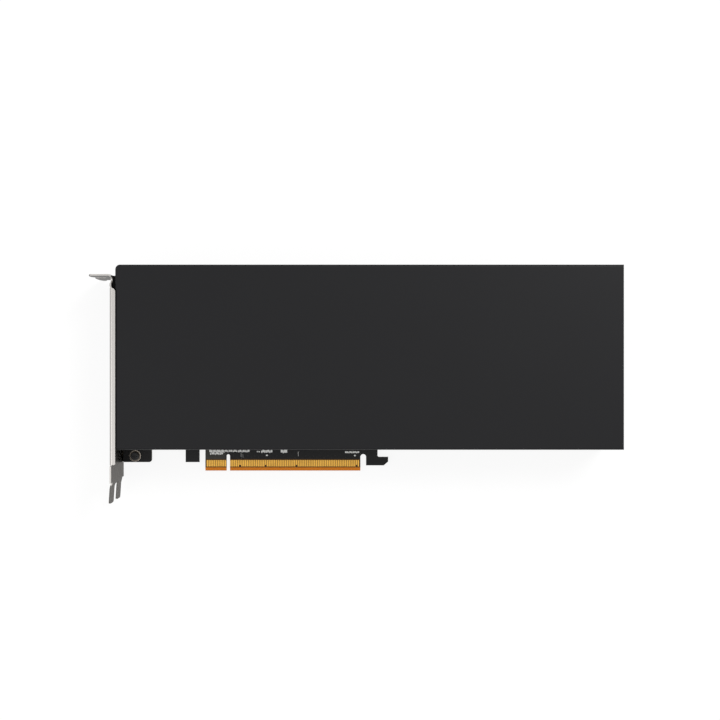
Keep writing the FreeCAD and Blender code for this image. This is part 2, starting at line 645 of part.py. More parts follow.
def make_mounting_bracket():
    """The folded bracket: lip, plate with vents, front flange, two ears and two prongs."""
    body = new_body("mounting_bracket")
    lip_under = "bracket_top - bracket_sheet"
    profile = new_sketch(body, "bracket_profile")
    polygon(profile, [
        ("-lip_reach", lip_under),
        ("-lip_reach", "bracket_top"),
        ("bracket_sheet", "bracket_top"),
        ("bracket_sheet", "shoulder_low"),
        ("bracket_sheet - jog_depth", "jog_low"),
        ("bracket_sheet - jog_depth - flare_depth", PRONG_TIP),
        ("-jog_depth - flare_depth", PRONG_TIP),
        ("-jog_depth", "jog_low"),
        ("0", "shoulder_low"),
        ("0", lip_under),
    ])
    pad(body, profile, BRACKET_WIDTH)
    dress(body, "Fillet", "lip_bend_inside", upright_edges(body, [("0", lip_under)]), "bend_round")
    outside = upright_edges(body, [("bracket_sheet", "bracket_top")])
    dress(body, "Fillet", "lip_bend_outside", outside, "bend_round + bracket_sheet")

    # Prongs: one in the middle of each slot's width.
    first_low = "(slot_width - prong_width) / 2"
    first_high = "(slot_width + prong_width) / 2"
    gaps = new_sketch(body, "prong_gaps", "YZ_Plane", "-jog_depth - flare_depth - cut_past")
    below = f"{PRONG_TIP} - cut_past"
    rectangle(gaps, (below, "-cut_past"), ("shoulder_low", first_low))
    rectangle(gaps, (below, first_high), ("prong_gap_top", f"slot_pitch + {first_low}"))
    beyond = f"{BRACKET_WIDTH} + cut_past"
    rectangle(gaps, (below, f"slot_pitch + {first_high}"), ("shoulder_low", beyond))
    pocket(body, gaps, "bracket_sheet + jog_depth + flare_depth + 2 * cut_past")
    across = (-1000, 1000)
    gap_top = number("prong_gap_top")
    tip = number(PRONG_TIP)
    sides = [number(text) for text in (first_high, f"slot_pitch + {first_low}")]
    outer_sides = [number(text) for text in (first_low, f"slot_pitch + {first_high}")]
    round_places = [(gap_top, side, *across) for side in sides]
    round_places += [(tip, side, *across) for side in sides + outer_sides]
    rounds = edges_along(body.Tip.Shape, 0, round_places)
    dress(body, "Fillet", "prong_corners", rounds, "prong_round")

    # Lip: sloped corners, a screw notch open to the edge and one open to the side.
    lip_middle = "(lip_slot_rise + slot_pitch)"
    slopes = new_sketch(body, "lip_slopes", "XZ_Plane", "-bracket_top - cut_past")
    corners = (
        ("0", "+"),
        (f"({lip_middle} - lip_slot_width / 2)", "-"),
        (f"({lip_middle} + lip_slot_width / 2)", "+"),
        (BRACKET_WIDTH, "-"),
    )
    for corner, side in corners:
        polygon(slopes, [
            ("-lip_reach", corner),
            ("-lip_reach + lip_corner_depth", corner),
            ("-lip_reach", f"{corner} {side} lip_corner_width"),
        ])
    pocket(body, slopes, "bracket_sheet + 2 * cut_past")
    notches = new_sketch(body, "lip_notches", "XZ_Plane", "-bracket_top - cut_past")
    edge_notch = [("-lip_reach - lip_slot_width", lip_middle), ("-lip_slot_reach", lip_middle)]
    side_notch = [("-lip_slot_reach", "-lip_slot_width"), ("-lip_slot_reach", "lip_slot_rise")]
    for start, end in (edge_notch, side_notch):
        slot(notches, start, end, "lip_slot_width")
    pocket(body, notches, "bracket_sheet + 2 * cut_past")

    # Cuts through the plate: relief under the lip, slits at the flange's ends and round the ears.
    cuts = new_sketch(body, "plate_cuts", "YZ_Plane", "-cut_past")
    relief_middle = f"({lip_under} - bend_round - relief_width / 2)"
    relief_start = (relief_middle, f"{BRACKET_WIDTH} + relief_width")
    relief_end = (relief_middle, f"{BRACKET_WIDTH} - relief_depth + relief_width / 2")
    slot(cuts, relief_start, relief_end, "relief_width")
    slit_low = f"{BRACKET_WIDTH} - bend_slit_depth"
    rectangle(cuts, ("flange_low - bend_slit", slit_low), ("flange_low", beyond))
    rectangle(cuts, ("flange_high", slit_low), ("flange_high + bend_slit", beyond))
    ear_under = "board_rise - bracket_sheet"
    for _, middle in ear_places():
        low = f"{middle} - ear_width / 2"
        high = f"{middle} + ear_width / 2"
        slit_top = "board_rise + bend_round + ear_slit_past"
        polygon(cuts, [
            (f"{low} - ear_slit", "-cut_past"),
            (f"{high} + ear_slit", "-cut_past"),
            (f"{high} + ear_slit", slit_top),
            (high, slit_top),
            (high, ear_under),
            (low, ear_under),
            (low, slit_top),
            (f"{low} - ear_slit", slit_top),
        ])
    pocket(body, cuts, "bracket_sheet + 2 * cut_past")

    flange = new_sketch(body, "flange", "XY_Plane", f"{BRACKET_WIDTH} - bracket_sheet")
    rectangle(flange, ("0", "flange_low"), ("flange_width", "flange_high"))
    pad(body, flange, "bracket_sheet")
    ears = new_sketch(body, "ears", "XY_Plane", ear_under)
    for _, middle in ear_places():
        block(ears, ("ear_reach / 2", middle), "ear_reach", "ear_width")
    pad(body, ears, "bracket_sheet")

    # Bends of the flange and the ears, inside and outside.
    sheet = number("bracket_sheet")
    width = number(BRACKET_WIDTH)
    rise = number("board_rise")
    inside = [(sheet, width - sheet, *across), (sheet, rise, *across)]
    dress(body, "Fillet", "bends_inside", edges_along(body.Tip.Shape, 1, inside), "bend_round")
    flange_span = (number("flange_low"), number("flange_high"))
    ear_span = (number("ear_low - ear_width / 2"), number("ear_high + ear_width / 2"))
    outside = [(0.0, width, *flange_span), (0.0, rise - sheet, *ear_span)]
    bends = edges_along(body.Tip.Shape, 1, outside)
    dress(body, "Fillet", "bends_outside", bends, "bend_round + bracket_sheet")
    flange_top = upright_edges(body, [("flange_width", "flange_high")])
    dress(body, "Fillet", "flange_top", flange_top, "flange_round")
    flange_foot = upright_edges(body, [("flange_width", "flange_low")])
    dress(body, "Fillet", "flange_foot", flange_foot, "flange_cut")
    ear_ends = [
        ("ear_reach", f"{middle} {side} ear_width / 2") for _, middle in ear_places() for side in "-+"
    ]
    dress(body, "Fillet", "ear_ends", upright_edges(body, ear_ends), "ear_corner")

    ear_holes = new_sketch(body, "ear_holes", "XY_Plane", "0")
    for place in ear_places():
        circle(ear_holes, place, "ear_screw_radius + thread_clearance")
    pocket(body, ear_holes, "board_rise + cut_past")

    vents = new_sketch(body, "vents", "YZ_Plane", "-cut_past")
    for side in "-+":
        inner = f"{BRACKET_WIDTH} / 2 + vent_shift {side} (vent_bridge + vent_width) / 2"
        outer = f"{inner} {side} (vent_length - vent_width)"
        slot(vents, ("vent_low", inner), ("vent_low", outer), "vent_width")
    first_row = pocket(body, vents, "bracket_sheet + 2 * cut_past")
    row_of(body, first_row, "Y_Axis", "vent_pitch", VENT_COUNT)
    return body


def make_bracket_washers():
    """Washers under the ear screws' heads, on the board's face."""
    body = new_body("bracket_washers", BOARD_FRONT)
    rings = new_sketch(body, "washer_rings")
    for place in ear_places():
        circle(rings, place, "washer_radius")
        circle(rings, place, "ear_screw_radius + hole_clearance")
    pad(body, rings, "washer_thick")
    return body


def make_bracket_screws():
    """Screws through washer and board into the bracket's ears."""
    body = new_body("bracket_screws", f"{BOARD_FRONT} + washer_thick")
    heads = new_sketch(body, "ear_screw_heads")
    for place in ear_places():
        circle(heads, place, "ear_head_radius")
    pad(body, heads, "ear_head_height")
    top = number("ear_head_height")
    rims = [
        f"Edge{index}" for index, edge in enumerate(body.Tip.Shape.Edges, start=1)
        if edge.Curve.TypeId == "Part::GeomCircle" and abs(edge.Curve.Center.z - top) < 0.01
    ]
    dress(body, "Fillet", "ear_head_rims", rims, "ear_head_round")
    shank_length = "washer_thick + board_thick + bracket_sheet"
    shanks = new_sketch(body, "ear_screw_shanks", "XY_Plane", f"-({shank_length})")
    for place in ear_places():
        circle(shanks, place, "ear_screw_radius")
    pad(body, shanks, shank_length)
    recesses = new_sketch(body, "ear_screw_recesses", "XY_Plane", "ear_head_height - recess_depth")
    for place in ear_places():
        cross(recesses, place, "recess_length", "recess_width")
    pocket(body, recesses, "recess_depth")
    return body


# Shroud with its screws

def shroud_screw_columns():
    """The columns of screws in the shroud's walls."""
    return [f"(shroud_screw_start + {i} * shroud_screw_pitch)" for i in range(count(SHROUD_SCREWS))]


def make_shroud():
    """The cover: a flat face with a wall along its lower and its upper edge, open at both ends."""
    body = new_body("shroud")
    wall_foot = f"{BOARD_FRONT} + shroud_hover"
    outline = new_sketch(body, "shroud_outline", "XY_Plane", wall_foot)
    rectangle(outline, ("shroud_nose", "shroud_low"), ("card_length", "shroud_high"))
    pad(body, outline, f"{BRACKET_WIDTH} - ({wall_foot})")
    corner = upright_edges(body, [("shroud_nose", "shroud_high")])
    dress(body, "Fillet", "shroud_top_corner", corner, "shroud_corner")
    face = number(BRACKET_WIDTH)
    shape = body.Tip.Shape
    everywhere = (-1000, 1000)
    sides = [(number(y), face, *everywhere) for y in ("shroud_low", "shroud_high")]
    long_edges = edges_along(shape, 0, sides)
    tail_edge = edges_along(shape, 1, [(number("card_length"), face, *everywhere)])
    dress(body, "Fillet", "shroud_edges", long_edges + tail_edge, "shroud_bend")
    channel = new_sketch(body, "shroud_channel", "YZ_Plane", "0")
    inside_low = ("shroud_low + shroud_sheet", "0")
    inside_high = ("shroud_high - shroud_sheet", f"{BRACKET_WIDTH} - shroud_sheet")
    rectangle(channel, inside_low, inside_high)
    pocket(body, channel, "card_length + cut_past")

    # Step beside the bracket's flange, which keeps the same gap round the flange's upper corner.
    corner_height = "(flange_high - flange_round)"
    step = new_sketch(body, "flange_step", "XY_Plane", "0")
    rectangle(step, ("0", "0"), (SHROUD_START, corner_height))
    pocket(body, step, f"{BRACKET_WIDTH} + cut_past")
    step_round = new_sketch(body, "flange_step_round", "XY_Plane", "0")
    circle(step_round, ("flange_width - flange_round", corner_height), "flange_round + flange_gap")
    pocket(body, step_round, f"{BRACKET_WIDTH} + cut_past")

    # Countersunk holes in both walls: each cone opens outwards.
    sink = f"shroud_screw_radius + hole_clearance + shroud_sheet * {SINK_SLOPE}"
    height = f"({BOARD_FRONT} + shroud_screw_rise)"
    lower = new_sketch(body, "lower_wall_holes", "XZ_Plane", "-shroud_low - shroud_sheet")
    upper = new_sketch(body, "upper_wall_holes", "XZ_Plane", "-shroud_high")
    for column in shroud_screw_columns():
        circle(lower, (column, height), "shroud_screw_radius + hole_clearance")
        circle(upper, (column, height), sink)
    pocket(body, lower, "shroud_sheet", "sink_angle")
    pocket(body, upper, "shroud_sheet", "-sink_angle")
    return body


def make_shroud_screws():
    """Countersunk screws that hold the shroud's walls to the base frame's rails."""
    body = new_body("shroud_screws")
    height = f"({BOARD_FRONT} + shroud_screw_rise)"
    walls = (
        (
            "lower", "-shroud_low - shroud_sheet", "-shroud_low - shroud_screw_length",
            "sink_angle", "shroud_screw_radius",
        ),
        (
            "upper", "-shroud_high", "-shroud_high",
            "-sink_angle", f"shroud_screw_radius + shroud_sheet * {SINK_SLOPE}",
        ),
    )
    for wall, head_plane, shank_plane, taper, radius in walls:
        heads = new_sketch(body, f"{wall}_heads", "XZ_Plane", head_plane)
        shanks = new_sketch(body, f"{wall}_shanks", "XZ_Plane", shank_plane)
        for column in shroud_screw_columns():
            circle(heads, (column, height), radius)
            circle(shanks, (column, height), "shroud_screw_radius")
        pad(body, heads, "shroud_sheet", taper)
        pad(body, shanks, "shroud_screw_length")
    sockets = (("lower", "-shroud_low - recess_depth"), ("upper", "-shroud_high"))
    for wall, plane in sockets:
        recess = new_sketch(body, f"{wall}_recesses", "XZ_Plane", plane)
        for column in shroud_screw_columns():
            cross(recess, (column, height), "shroud_screw_radius * 2", "recess_width")
        pocket(body, recess, "recess_depth")
    return body


# Base frame and backplate

def make_base_frame():
    """The cast frame on the board: plate with a window, rails, bosses and two tapped posts at the tail."""
    body = new_body("base_frame", BOARD_FRONT)
    plate = new_sketch(body, "frame_plate_outline", "XY_Plane", "frame_gap")
    plug_low = f"plug_centre - {PLUG_WIDTH} / 2 - plug_gap"
    plug_high = f"plug_centre + {PLUG_WIDTH} / 2 + plug_gap"
    plug_back = "plug_start - pin_second_leg - pin_side - plug_gap"
    polygon(plate, [
        ("frame_start", FRAME_LOW),
        ("card_length", FRAME_LOW),
        ("card_length", plug_low),
        (plug_back, plug_low),
        (plug_back, plug_high),
        ("card_length", plug_high),
        ("card_length", FRAME_HIGH),
        ("frame_start", FRAME_HIGH),
    ])
    block(plate, ("package_centre", "package_height"), "window_side", "window_side")
    pad(body, plate, "frame_plate")
    window = [
        (f"package_centre {side} window_side / 2", f"package_height {rise} window_side / 2")
        for side in "-+" for rise in "-+"
    ]
    dress(body, "Fillet", "window_corners", upright_edges(body, window), "window_round")
    supports = new_sketch(body, "rails")
    rectangle(supports, ("frame_start", FRAME_LOW), ("card_length", f"{FRAME_LOW} + rail_width"))
    rectangle(supports, ("frame_start", f"{FRAME_HIGH} - rail_width"), ("card_length", FRAME_HIGH))
    pad(body, supports, "frame_gap")
    posts = new_sketch(body, "posts")
    rectangle(posts, ("card_length - post_length", FRAME_LOW), ("card_length", f"{FRAME_LOW} + post_width"))
    rectangle(posts, ("card_length - post_length", f"{FRAME_HIGH} - post_width"), ("card_length", FRAME_HIGH))
    pad(body, posts, "post_height")
    bosses = new_sketch(body, "frame_bosses")
    for place in board_screw_places():
        circle(bosses, place, "frame_boss_radius")
    pad(body, bosses, "frame_gap")
    screw_holes = new_sketch(body, "frame_screw_holes")
    for place in board_screw_places():
        circle(screw_holes, place, "board_screw_radius + thread_clearance")
    pocket(body, screw_holes, "frame_gap")
    rail_holes = new_sketch(body, "rail_holes", "XZ_Plane", f"-{FRAME_HIGH} - cut_past")
    for column in shroud_screw_columns():
        circle(rail_holes, (column, "shroud_screw_rise"), "shroud_screw_radius + thread_clearance")
    pocket(body, rail_holes, f"{FRAME_HIGH} - {FRAME_LOW} + 2 * cut_past")
    extender = new_sketch(body, "extender_holes", "YZ_Plane", "card_length - extender_depth")
    for middle in (f"{FRAME_LOW} + post_width / 2", f"{FRAME_HIGH} - post_width / 2"):
        for rise in ("extender_rise", "extender_rise + extender_pitch"):
            circle(extender, (middle, rise), "extender_radius")
    pocket(body, extender, "extender_depth")
    return body


def make_backplate():
    """The flat back cover, with a window for the retention plate and bosses up to the board."""
    body = new_body("backplate")
    outline = new_sketch(body, "backplate_outline")
    rectangle(outline, ("backplate_start", "shroud_low"), ("board_end", "shroud_high"))
    block(outline, ("package_centre", "package_height"), "backplate_window", "backplate_window")
    pad(body, outline, "backplate_thick")
    outer = [(x, y) for x in ("backplate_start", "board_end") for y in ("shroud_low", "shroud_high")]
    window = [
        (f"package_centre {side} backplate_window / 2", f"package_height {rise} backplate_window / 2")
        for side in "-+" for rise in "-+"
    ]
    dress(body, "Fillet", "backplate_corners", upright_edges(body, outer + window), "backplate_round")
    rim_place = [(number(y), 0.0, -1000, 1000) for y in ("shroud_low", "shroud_high")]
    rim = edges_along(body.Tip.Shape, 0, rim_place)
    dress(body, "Chamfer", "backplate_rim", rim, "backplate_edge")
    lands = new_sketch(body, "backplate_lands")
    for place in board_screw_places():
        circle(lands, place, "backplate_land_radius")
    pad(body, lands, "backplate_thick")
    bosses = new_sketch(body, "backplate_bosses", "XY_Plane", "backplate_thick")
    for place in board_screw_places():
        circle(bosses, place, "backplate_boss_radius")
    pad(body, bosses, "board_rise - backplate_thick")
    holes = new_sketch(body, "backplate_holes")
    sinks = new_sketch(body, "backplate_sinks")
    for place in board_screw_places():
        circle(holes, place, "board_screw_radius + hole_clearance")
        circle(sinks, place, "board_head_radius + hole_clearance")
    pocket(body, holes, "board_rise")
    pocket(body, sinks, "board_head_depth", "-sink_angle")
    return body


def make_insulating_film():
    """A thin film on the backplate's inner face, cut out round the window, the bosses and the power pins."""
    body = new_body("insulating_film", "backplate_thick")
    outline = new_sketch(body, "film_outline")
    low = ("backplate_start + film_margin", "shroud_low + film_margin")
    rectangle(outline, low, ("board_end - film_margin", "shroud_high - film_margin"))
    pad(body, outline, "film_thick")
    window = new_sketch(body, "film_window")
    side = "(backplate_window + 2 * film_margin)"
    block(window, ("package_centre", "package_height"), side, side)
    pocket(body, window, "film_thick")
    holes = new_sketch(body, "film_holes")
    for place in board_screw_places():
        circle(holes, place, "backplate_boss_radius + hole_clearance")
    for _, leg in PIN_ROWS:
        for across in pin_columns():
            circle(holes, (f"(plug_start - {leg})", across), "pin_hole_radius + hole_clearance")
    pocket(body, holes, "film_thick")
    return body


def make_board_screws():
    """Countersunk screws through backplate and board into the base frame's bosses."""
    body = new_body("board_screws")
    heads = new_sketch(body, "board_heads")
    shanks = new_sketch(body, "board_shanks")
    recesses = new_sketch(body, "board_recesses")
    for place in board_screw_places():
        circle(heads, place, "board_head_radius")
        circle(shanks, place, "board_screw_radius")
        cross(recesses, place, "recess_length", "recess_width")
    pad(body, heads, "board_head_depth", "-sink_angle")
    pad(body, shanks, "board_screw_length")
    pocket(body, recesses, "recess_depth")
    return body


# Processor package

def make_package_substrate():
    """The package's substrate, seated on the board."""
    body = new_body("package_substrate", BOARD_FRONT)
    outline = new_sketch(body, "substrate_outline")
    block(outline, ("package_centre", "package_height"), "substrate_side", "substrate_side")
    pad(body, outline, "substrate_thick")
    return body


def make_processor_die():
    """The processor die in the middle of the substrate."""
    body = new_body("processor_die", f"{BOARD_FRONT} + substrate_thick")
    outline = new_sketch(body, "die_outline")
    block(outline, ("package_centre", "package_height"), "die_length", "die_width")
    pad(body, outline, "die_thick")
    return body


def make_memory_stacks():
    """Memory stacks in a column on each side of the die."""
    body = new_body("memory_stacks", f"{BOARD_FRONT} + substrate_thick")
    outline = new_sketch(body, "stack_outlines")
    for side in "-+":
        for index in range(count("stack_count")):
            x = f"(package_centre {side} (die_length / 2 + stack_gap + stack_length / 2))"
            shift = f"({index} - (stack_count - 1) / 2)"
            y = f"(package_height + {shift} * (stack_width + stack_gap))"
            block(outline, (x, y), "stack_length", "stack_width")
    pad(body, outline, "die_thick")
    return body


def make_package_stiffener():
    """The metal ring round the substrate's edge."""
    body = new_body("package_stiffener", f"{BOARD_FRONT} + substrate_thick")
    outline = new_sketch(body, "ring_outline")
    inner = "(substrate_side - 2 * stiffener_width)"
    block(outline, ("package_centre", "package_height"), "substrate_side", "substrate_side")
    block(outline, ("package_centre", "package_height"), inner, inner)
    pad(body, outline, "die_thick")
    return body


def make_thermal_interface():
    """The thermal interface between the die with its stacks and the heat sink's pedestal."""
    body = new_body("thermal_interface", f"{BOARD_FRONT} + substrate_thick + die_thick")
    outline = new_sketch(body, "interface_outline")
    length = "(die_length + 2 * stack_gap + 2 * stack_length)"
    width = "(stack_count * stack_width + (stack_count - 1) * stack_gap)"
    block(outline, ("package_centre", "package_height"), length, width)
    pad(body, outline, "interface_thick")
    return body


# Heat sink and its retention

def make_heatsink_base():
    """The base plate with a pedestal down to the package and four tapped posts."""
    body = new_body("heatsink_base", f"{BOARD_FRONT} + {FRAME_TOP}")
    width = f"({FIN_COUNT} * fin_pitch + 2 * sink_margin)"
    plate = new_sketch(body, "base_outline")
    block(plate, ("(sink_start + sink_end) / 2", SINK_MIDDLE), "(sink_end - sink_start)", width)
    pad(body, plate, "sink_base")
    drop = f"({FRAME_TOP} - {PACKAGE_TOP})"
    pedestal = new_sketch(body, "pedestal", "XY_Plane", f"-{drop}")
    side = "(substrate_side - 2 * stiffener_width - 2 * pedestal_margin)"
    block(pedestal, ("package_centre", "package_height"), side, side)
    pad(body, pedestal, drop)
    post_length = f"({FRAME_TOP} - retention_post_hover)"
    posts = new_sketch(body, "retention_posts", "XY_Plane", f"-{post_length}")
    holes = new_sketch(body, "retention_threads", "XY_Plane", f"-{post_length}")
    for place in retention_places():
        circle(posts, place, "retention_post_radius")
        circle(holes, place, "retention_radius + thread_clearance")
    pad(body, posts, post_length)
    pocket(body, holes, post_length)
    return body


def make_heatsink_fins():
    """The stack of folded fins: each fin's two folds close the gap to the next one."""
    fin_foot = f"{BOARD_FRONT} + {FRAME_TOP} + sink_base"
    body = new_body("heatsink_fins", fin_foot)
    left = f"({SINK_MIDDLE} - {FIN_COUNT} * fin_pitch / 2)"
    right = f"{left} + fin_pitch - fin_joint"
    web = f"{left} + fin_sheet"
    tall = f"({BRACKET_WIDTH} - shroud_sheet - sink_hover - ({fin_foot}))"
    profile = new_sketch(body, "fin_profile", "YZ_Plane", "sink_start")
    polygon(profile, [
        (left, "0"),
        (right, "0"),
        (right, "fin_sheet"),
        (web, "fin_sheet"),
        (web, f"{tall} - fin_sheet"),
        (right, f"{tall} - fin_sheet"),
        (right, tall),
        (left, tall),
    ])
    first_fin = pad(body, profile, "sink_end - sink_start")
    row_of(body, first_fin, "Y_Axis", "fin_pitch", FIN_COUNT)
    return body


RETENTION_SEAT = "(retention_inset + retention_head_height)"


def make_retention_plate():
    """The crossed leaf spring behind the package."""
    body = new_body("retention_plate", RETENTION_SEAT)
    places = retention_places()
    for name, start, end in (("rising_arm", places[0], places[3]), ("falling_arm", places[1], places[2])):
        arm = new_sketch(body, name)
        slot(arm, start, end, "retention_arm")
        pad(body, arm, "retention_sheet")
    holes = new_sketch(body, "arm_holes")
    for place in places:
        circle(holes, place, "retention_radius + hole_clearance")
    pocket(body, holes, "retention_sheet")
    return body


def make_retention_pad():
    """The insulating pad between the retention plate and the board."""
    body = new_body("retention_pad", f"{RETENTION_SEAT} + retention_sheet")
    outline = new_sketch(body, "pad_outline")
    block(outline, ("package_centre", "package_height"), "retention_pad_side", "retention_pad_side")
    pad(body, outline, f"board_rise - {RETENTION_SEAT} - retention_sheet")
    return body


def make_retention_screws():
    """Screws through the retention plate and the board into the heat sink's posts."""
    body = new_body("retention_screws", "retention_inset")
    heads = new_sketch(body, "retention_heads")
    shanks = new_sketch(body, "retention_shanks")
    recesses = new_sketch(body, "retention_recesses")
    for place in retention_places():
        circle(heads, place, "retention_head_radius")
        circle(shanks, place, "retention_radius")
        cross(recesses, place, "recess_length", "recess_width")
    pad(body, heads, "retention_head_height")
    pad(body, shanks, "retention_head_height + retention_reach")
    pocket(body, recesses, "recess_depth")
    return body


# Power parts

def make_power_inductors():
    """A column of square inductors on each side of the package."""
    body = new_body("power_inductors", BOARD_FRONT)
    outline = new_sketch(body, "inductor_outlines")
    for place in supply_places("inductor_offset"):
        block(outline, place, "inductor_side", "inductor_side")
    pad(body, outline, "inductor_height")
    return body


def make_inductor_pads():
    """Thermal pads between each column of inductors and the base frame."""
    body = new_body("inductor_pads", f"{BOARD_FRONT} + inductor_height")
    outline = new_sketch(body, "inductor_pad_outlines")
    width = "((supply_count - 1) * supply_pitch + inductor_side)"
    for side in "-+":
        middle = (f"(package_centre {side} inductor_offset)", "package_height")
        block(outline, middle, "inductor_side", width)
    pad(body, outline, "frame_gap - inductor_height")
    return body


def make_power_stages():
    """Flat power stages beside the inductors."""
    body = new_body("power_stages", BOARD_FRONT)
    outline = new_sketch(body, "stage_outlines")
    for place in supply_places("stage_offset"):
        block(outline, place, "stage_length", "stage_width")
    pad(body, outline, "stage_height")
    return body


def make_polymer_capacitors():
    """Round capacitors on square bases."""
    body = new_body("polymer_capacitors", BOARD_FRONT)
    bases = new_sketch(body, "capacitor_bases")
    cans = new_sketch(body, "capacitor_cans")
    for place in supply_places("capacitor_offset"):
        block(bases, place, "2 * capacitor_radius", "2 * capacitor_radius")
        circle(cans, place, "capacitor_radius")
    pad(body, bases, "capacitor_base")
    pad(body, cans, "capacitor_height")
    return body


def make_support_chips():
    """Support chips near both ends of the board."""
    body = new_body("support_chips", BOARD_FRONT)
    outline = new_sketch(body, "chip_outlines")
    for x in ("chip_near", "chip_far"):
        for y in ("chip_low", "chip_high"):
            block(outline, (x, y), "chip_side", "chip_side")
    pad(body, outline, "chip_height")
    return body


# Power connector

def make_power_connector():
    """The housing at the tail: two rows of square sockets, and a ramp for the plug's latch."""
    body = new_body("power_connector", BOARD_FRONT)
    outline = new_sketch(body, "housing", "YZ_Plane", "plug_start")
    low = (f"plug_centre - {PLUG_WIDTH} / 2", "0")
    rectangle(outline, low, (f"plug_centre + {PLUG_WIDTH} / 2", PLUG_HEIGHT))
    pad(body, outline, "plug_end - plug_start")
    sockets = new_sketch(body, "sockets", "YZ_Plane", "plug_end - plug_depth")
    passages = new_sketch(body, "pin_passages", "YZ_Plane", "plug_start")
    passage = "(pin_side + 2 * thread_clearance)"
    for rise, _ in PIN_ROWS:
        for across in pin_columns():
            block(sockets, (across, rise), "plug_socket", "plug_socket")
            block(passages, (across, rise), passage, passage)
    pocket(body, sockets, "plug_depth")
    pocket(body, passages, "plug_end - plug_start - plug_depth + cut_past")
    ramp = new_sketch(body, "latch_ramp", "XZ_Plane", "-plug_centre - latch_ramp_width / 2")
    ramp_back = "plug_end - latch_ramp_inset - latch_ramp_length"
    polygon(ramp, [
        (ramp_back, PLUG_HEIGHT),
        ("plug_end - latch_ramp_inset", PLUG_HEIGHT),
        (ramp_back, f"{PLUG_HEIGHT} + latch_ramp_height"),
    ])
    pad(body, ramp, "latch_ramp_width")
    return body


def make_power_pins():
    """Square pins that run back through the housing and turn down through the board."""
    body = new_body("power_pins", BOARD_FRONT)
    half = "pin_side / 2"
    plane = f"-({pin_columns()[0]}) - {half}"
    for row, (rise, leg) in enumerate(PIN_ROWS):
        back = f"plug_start - {leg}"
        profile = new_sketch(body, f"pin_row_{row}", "XZ_Plane", plane)
        polygon(profile, [
            (f"{back} - {half}", "-board_thick - pin_tail"),
            (f"{back} + {half}", "-board_thick - pin_tail"),
            (f"{back} + {half}", f"{rise} - {half}"),
            ("plug_end - pin_inset", f"{rise} - {half}"),
            ("plug_end - pin_inset", f"{rise} + {half}"),
            (f"{back} - {half}", f"{rise} + {half}"),
        ])
        row_of(body, pad(body, profile, "pin_side"), "Y_Axis", "plug_pitch", "plug_columns")
    return body


def export(bodies):
    """Checks every object and every sub-part's shape, then writes one STEP file for each sub-part."""
    DOC.recompute()
    for item in DOC.Objects:
        if "Invalid" in item.State or "Error" in item.State:
            raise ValueError(f"{item.Name} failed: {item.State}")
    for body in bodies:
        if body.Shape.isNull() or not body.Shape.isValid() or not body.Shape.Solids:
            raise ValueError(f"{body.Label} has no valid solid")
    os.makedirs("parts", exist_ok=True)
    for body in bodies:
        body.Shape.exportStep(f"parts/{body.Label}.step")


def main():
    """Builds the card from the bracket and board outwards."""
    fill_sheet()
    export([
        make_circuit_board(),
        make_edge_contacts("edge_contacts_front", BOARD_FRONT, FRONT_SENSE),
        make_edge_contacts("edge_contacts_back", "board_rise - contact_thick", BACK_SENSE),
        make_mounting_bracket(),
        make_bracket_washers(),
        make_bracket_screws(),
        make_shroud(),
        make_shroud_screws(),
        make_base_frame(),
        make_backplate(),
        make_insulating_film(),
        make_board_screws(),
        make_package_substrate(),
        make_processor_die(),
        make_memory_stacks(),
        make_package_stiffener(),
        make_thermal_interface(),
        make_heatsink_base(),
        make_heatsink_fins(),
        make_retention_plate(),
        make_retention_pad(),
        make_retention_screws(),
        make_power_inductors(),
        make_inductor_pads(),
        make_power_stages(),
        make_polymer_capacitors(),
        make_support_chips(),
        make_power_connector(),
        make_power_pins(),
    ])


main()
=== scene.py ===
import logging
from collections.abc import Iterable
from dataclasses import dataclass
from enum import Enum
from functools import cache

import bpy
import numpy as np
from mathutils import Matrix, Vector


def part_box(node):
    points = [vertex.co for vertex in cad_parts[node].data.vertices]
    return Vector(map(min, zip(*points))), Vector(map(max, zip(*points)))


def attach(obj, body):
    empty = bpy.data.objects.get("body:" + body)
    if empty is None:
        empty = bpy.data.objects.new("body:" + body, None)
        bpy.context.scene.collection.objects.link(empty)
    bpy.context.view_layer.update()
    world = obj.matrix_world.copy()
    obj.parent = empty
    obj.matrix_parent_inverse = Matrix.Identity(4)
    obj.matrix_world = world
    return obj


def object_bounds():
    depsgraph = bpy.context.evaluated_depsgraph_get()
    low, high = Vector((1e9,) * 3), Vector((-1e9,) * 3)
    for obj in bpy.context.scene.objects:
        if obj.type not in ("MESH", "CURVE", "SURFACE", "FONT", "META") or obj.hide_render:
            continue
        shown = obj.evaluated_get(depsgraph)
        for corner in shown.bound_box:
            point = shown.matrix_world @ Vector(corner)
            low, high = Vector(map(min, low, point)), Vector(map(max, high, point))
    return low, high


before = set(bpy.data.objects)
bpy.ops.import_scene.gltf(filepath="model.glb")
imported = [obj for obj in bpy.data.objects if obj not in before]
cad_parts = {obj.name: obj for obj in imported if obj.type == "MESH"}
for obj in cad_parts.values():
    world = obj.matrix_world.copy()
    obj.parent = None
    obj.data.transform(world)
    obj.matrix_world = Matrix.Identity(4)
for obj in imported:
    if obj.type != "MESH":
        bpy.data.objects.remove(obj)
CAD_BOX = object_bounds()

LOG = logging.getLogger("accelerator_card")
MM = 0.001

Colour = tuple[float, float, float]
Socket = bpy.types.NodeSocket
Sockets = bpy.types.bpy_prop_collection
Mesh = tuple[np.ndarray, np.ndarray]


class Axis(Enum):
    """A direction of the card, as the axis of the array that holds it."""

    ALONG = 0
    ACROSS = 1


class Pattern(Enum):
    """How a finish varies over its surface."""

    GRAINED = "grained"
    BRUSHED = "brushed"


class Mark(Enum):
    """A shape printed on the board, with its squareness: 1 is round, higher is squarer."""

    DOT = 1.0
    BAR = 5.0


# Shader nodes

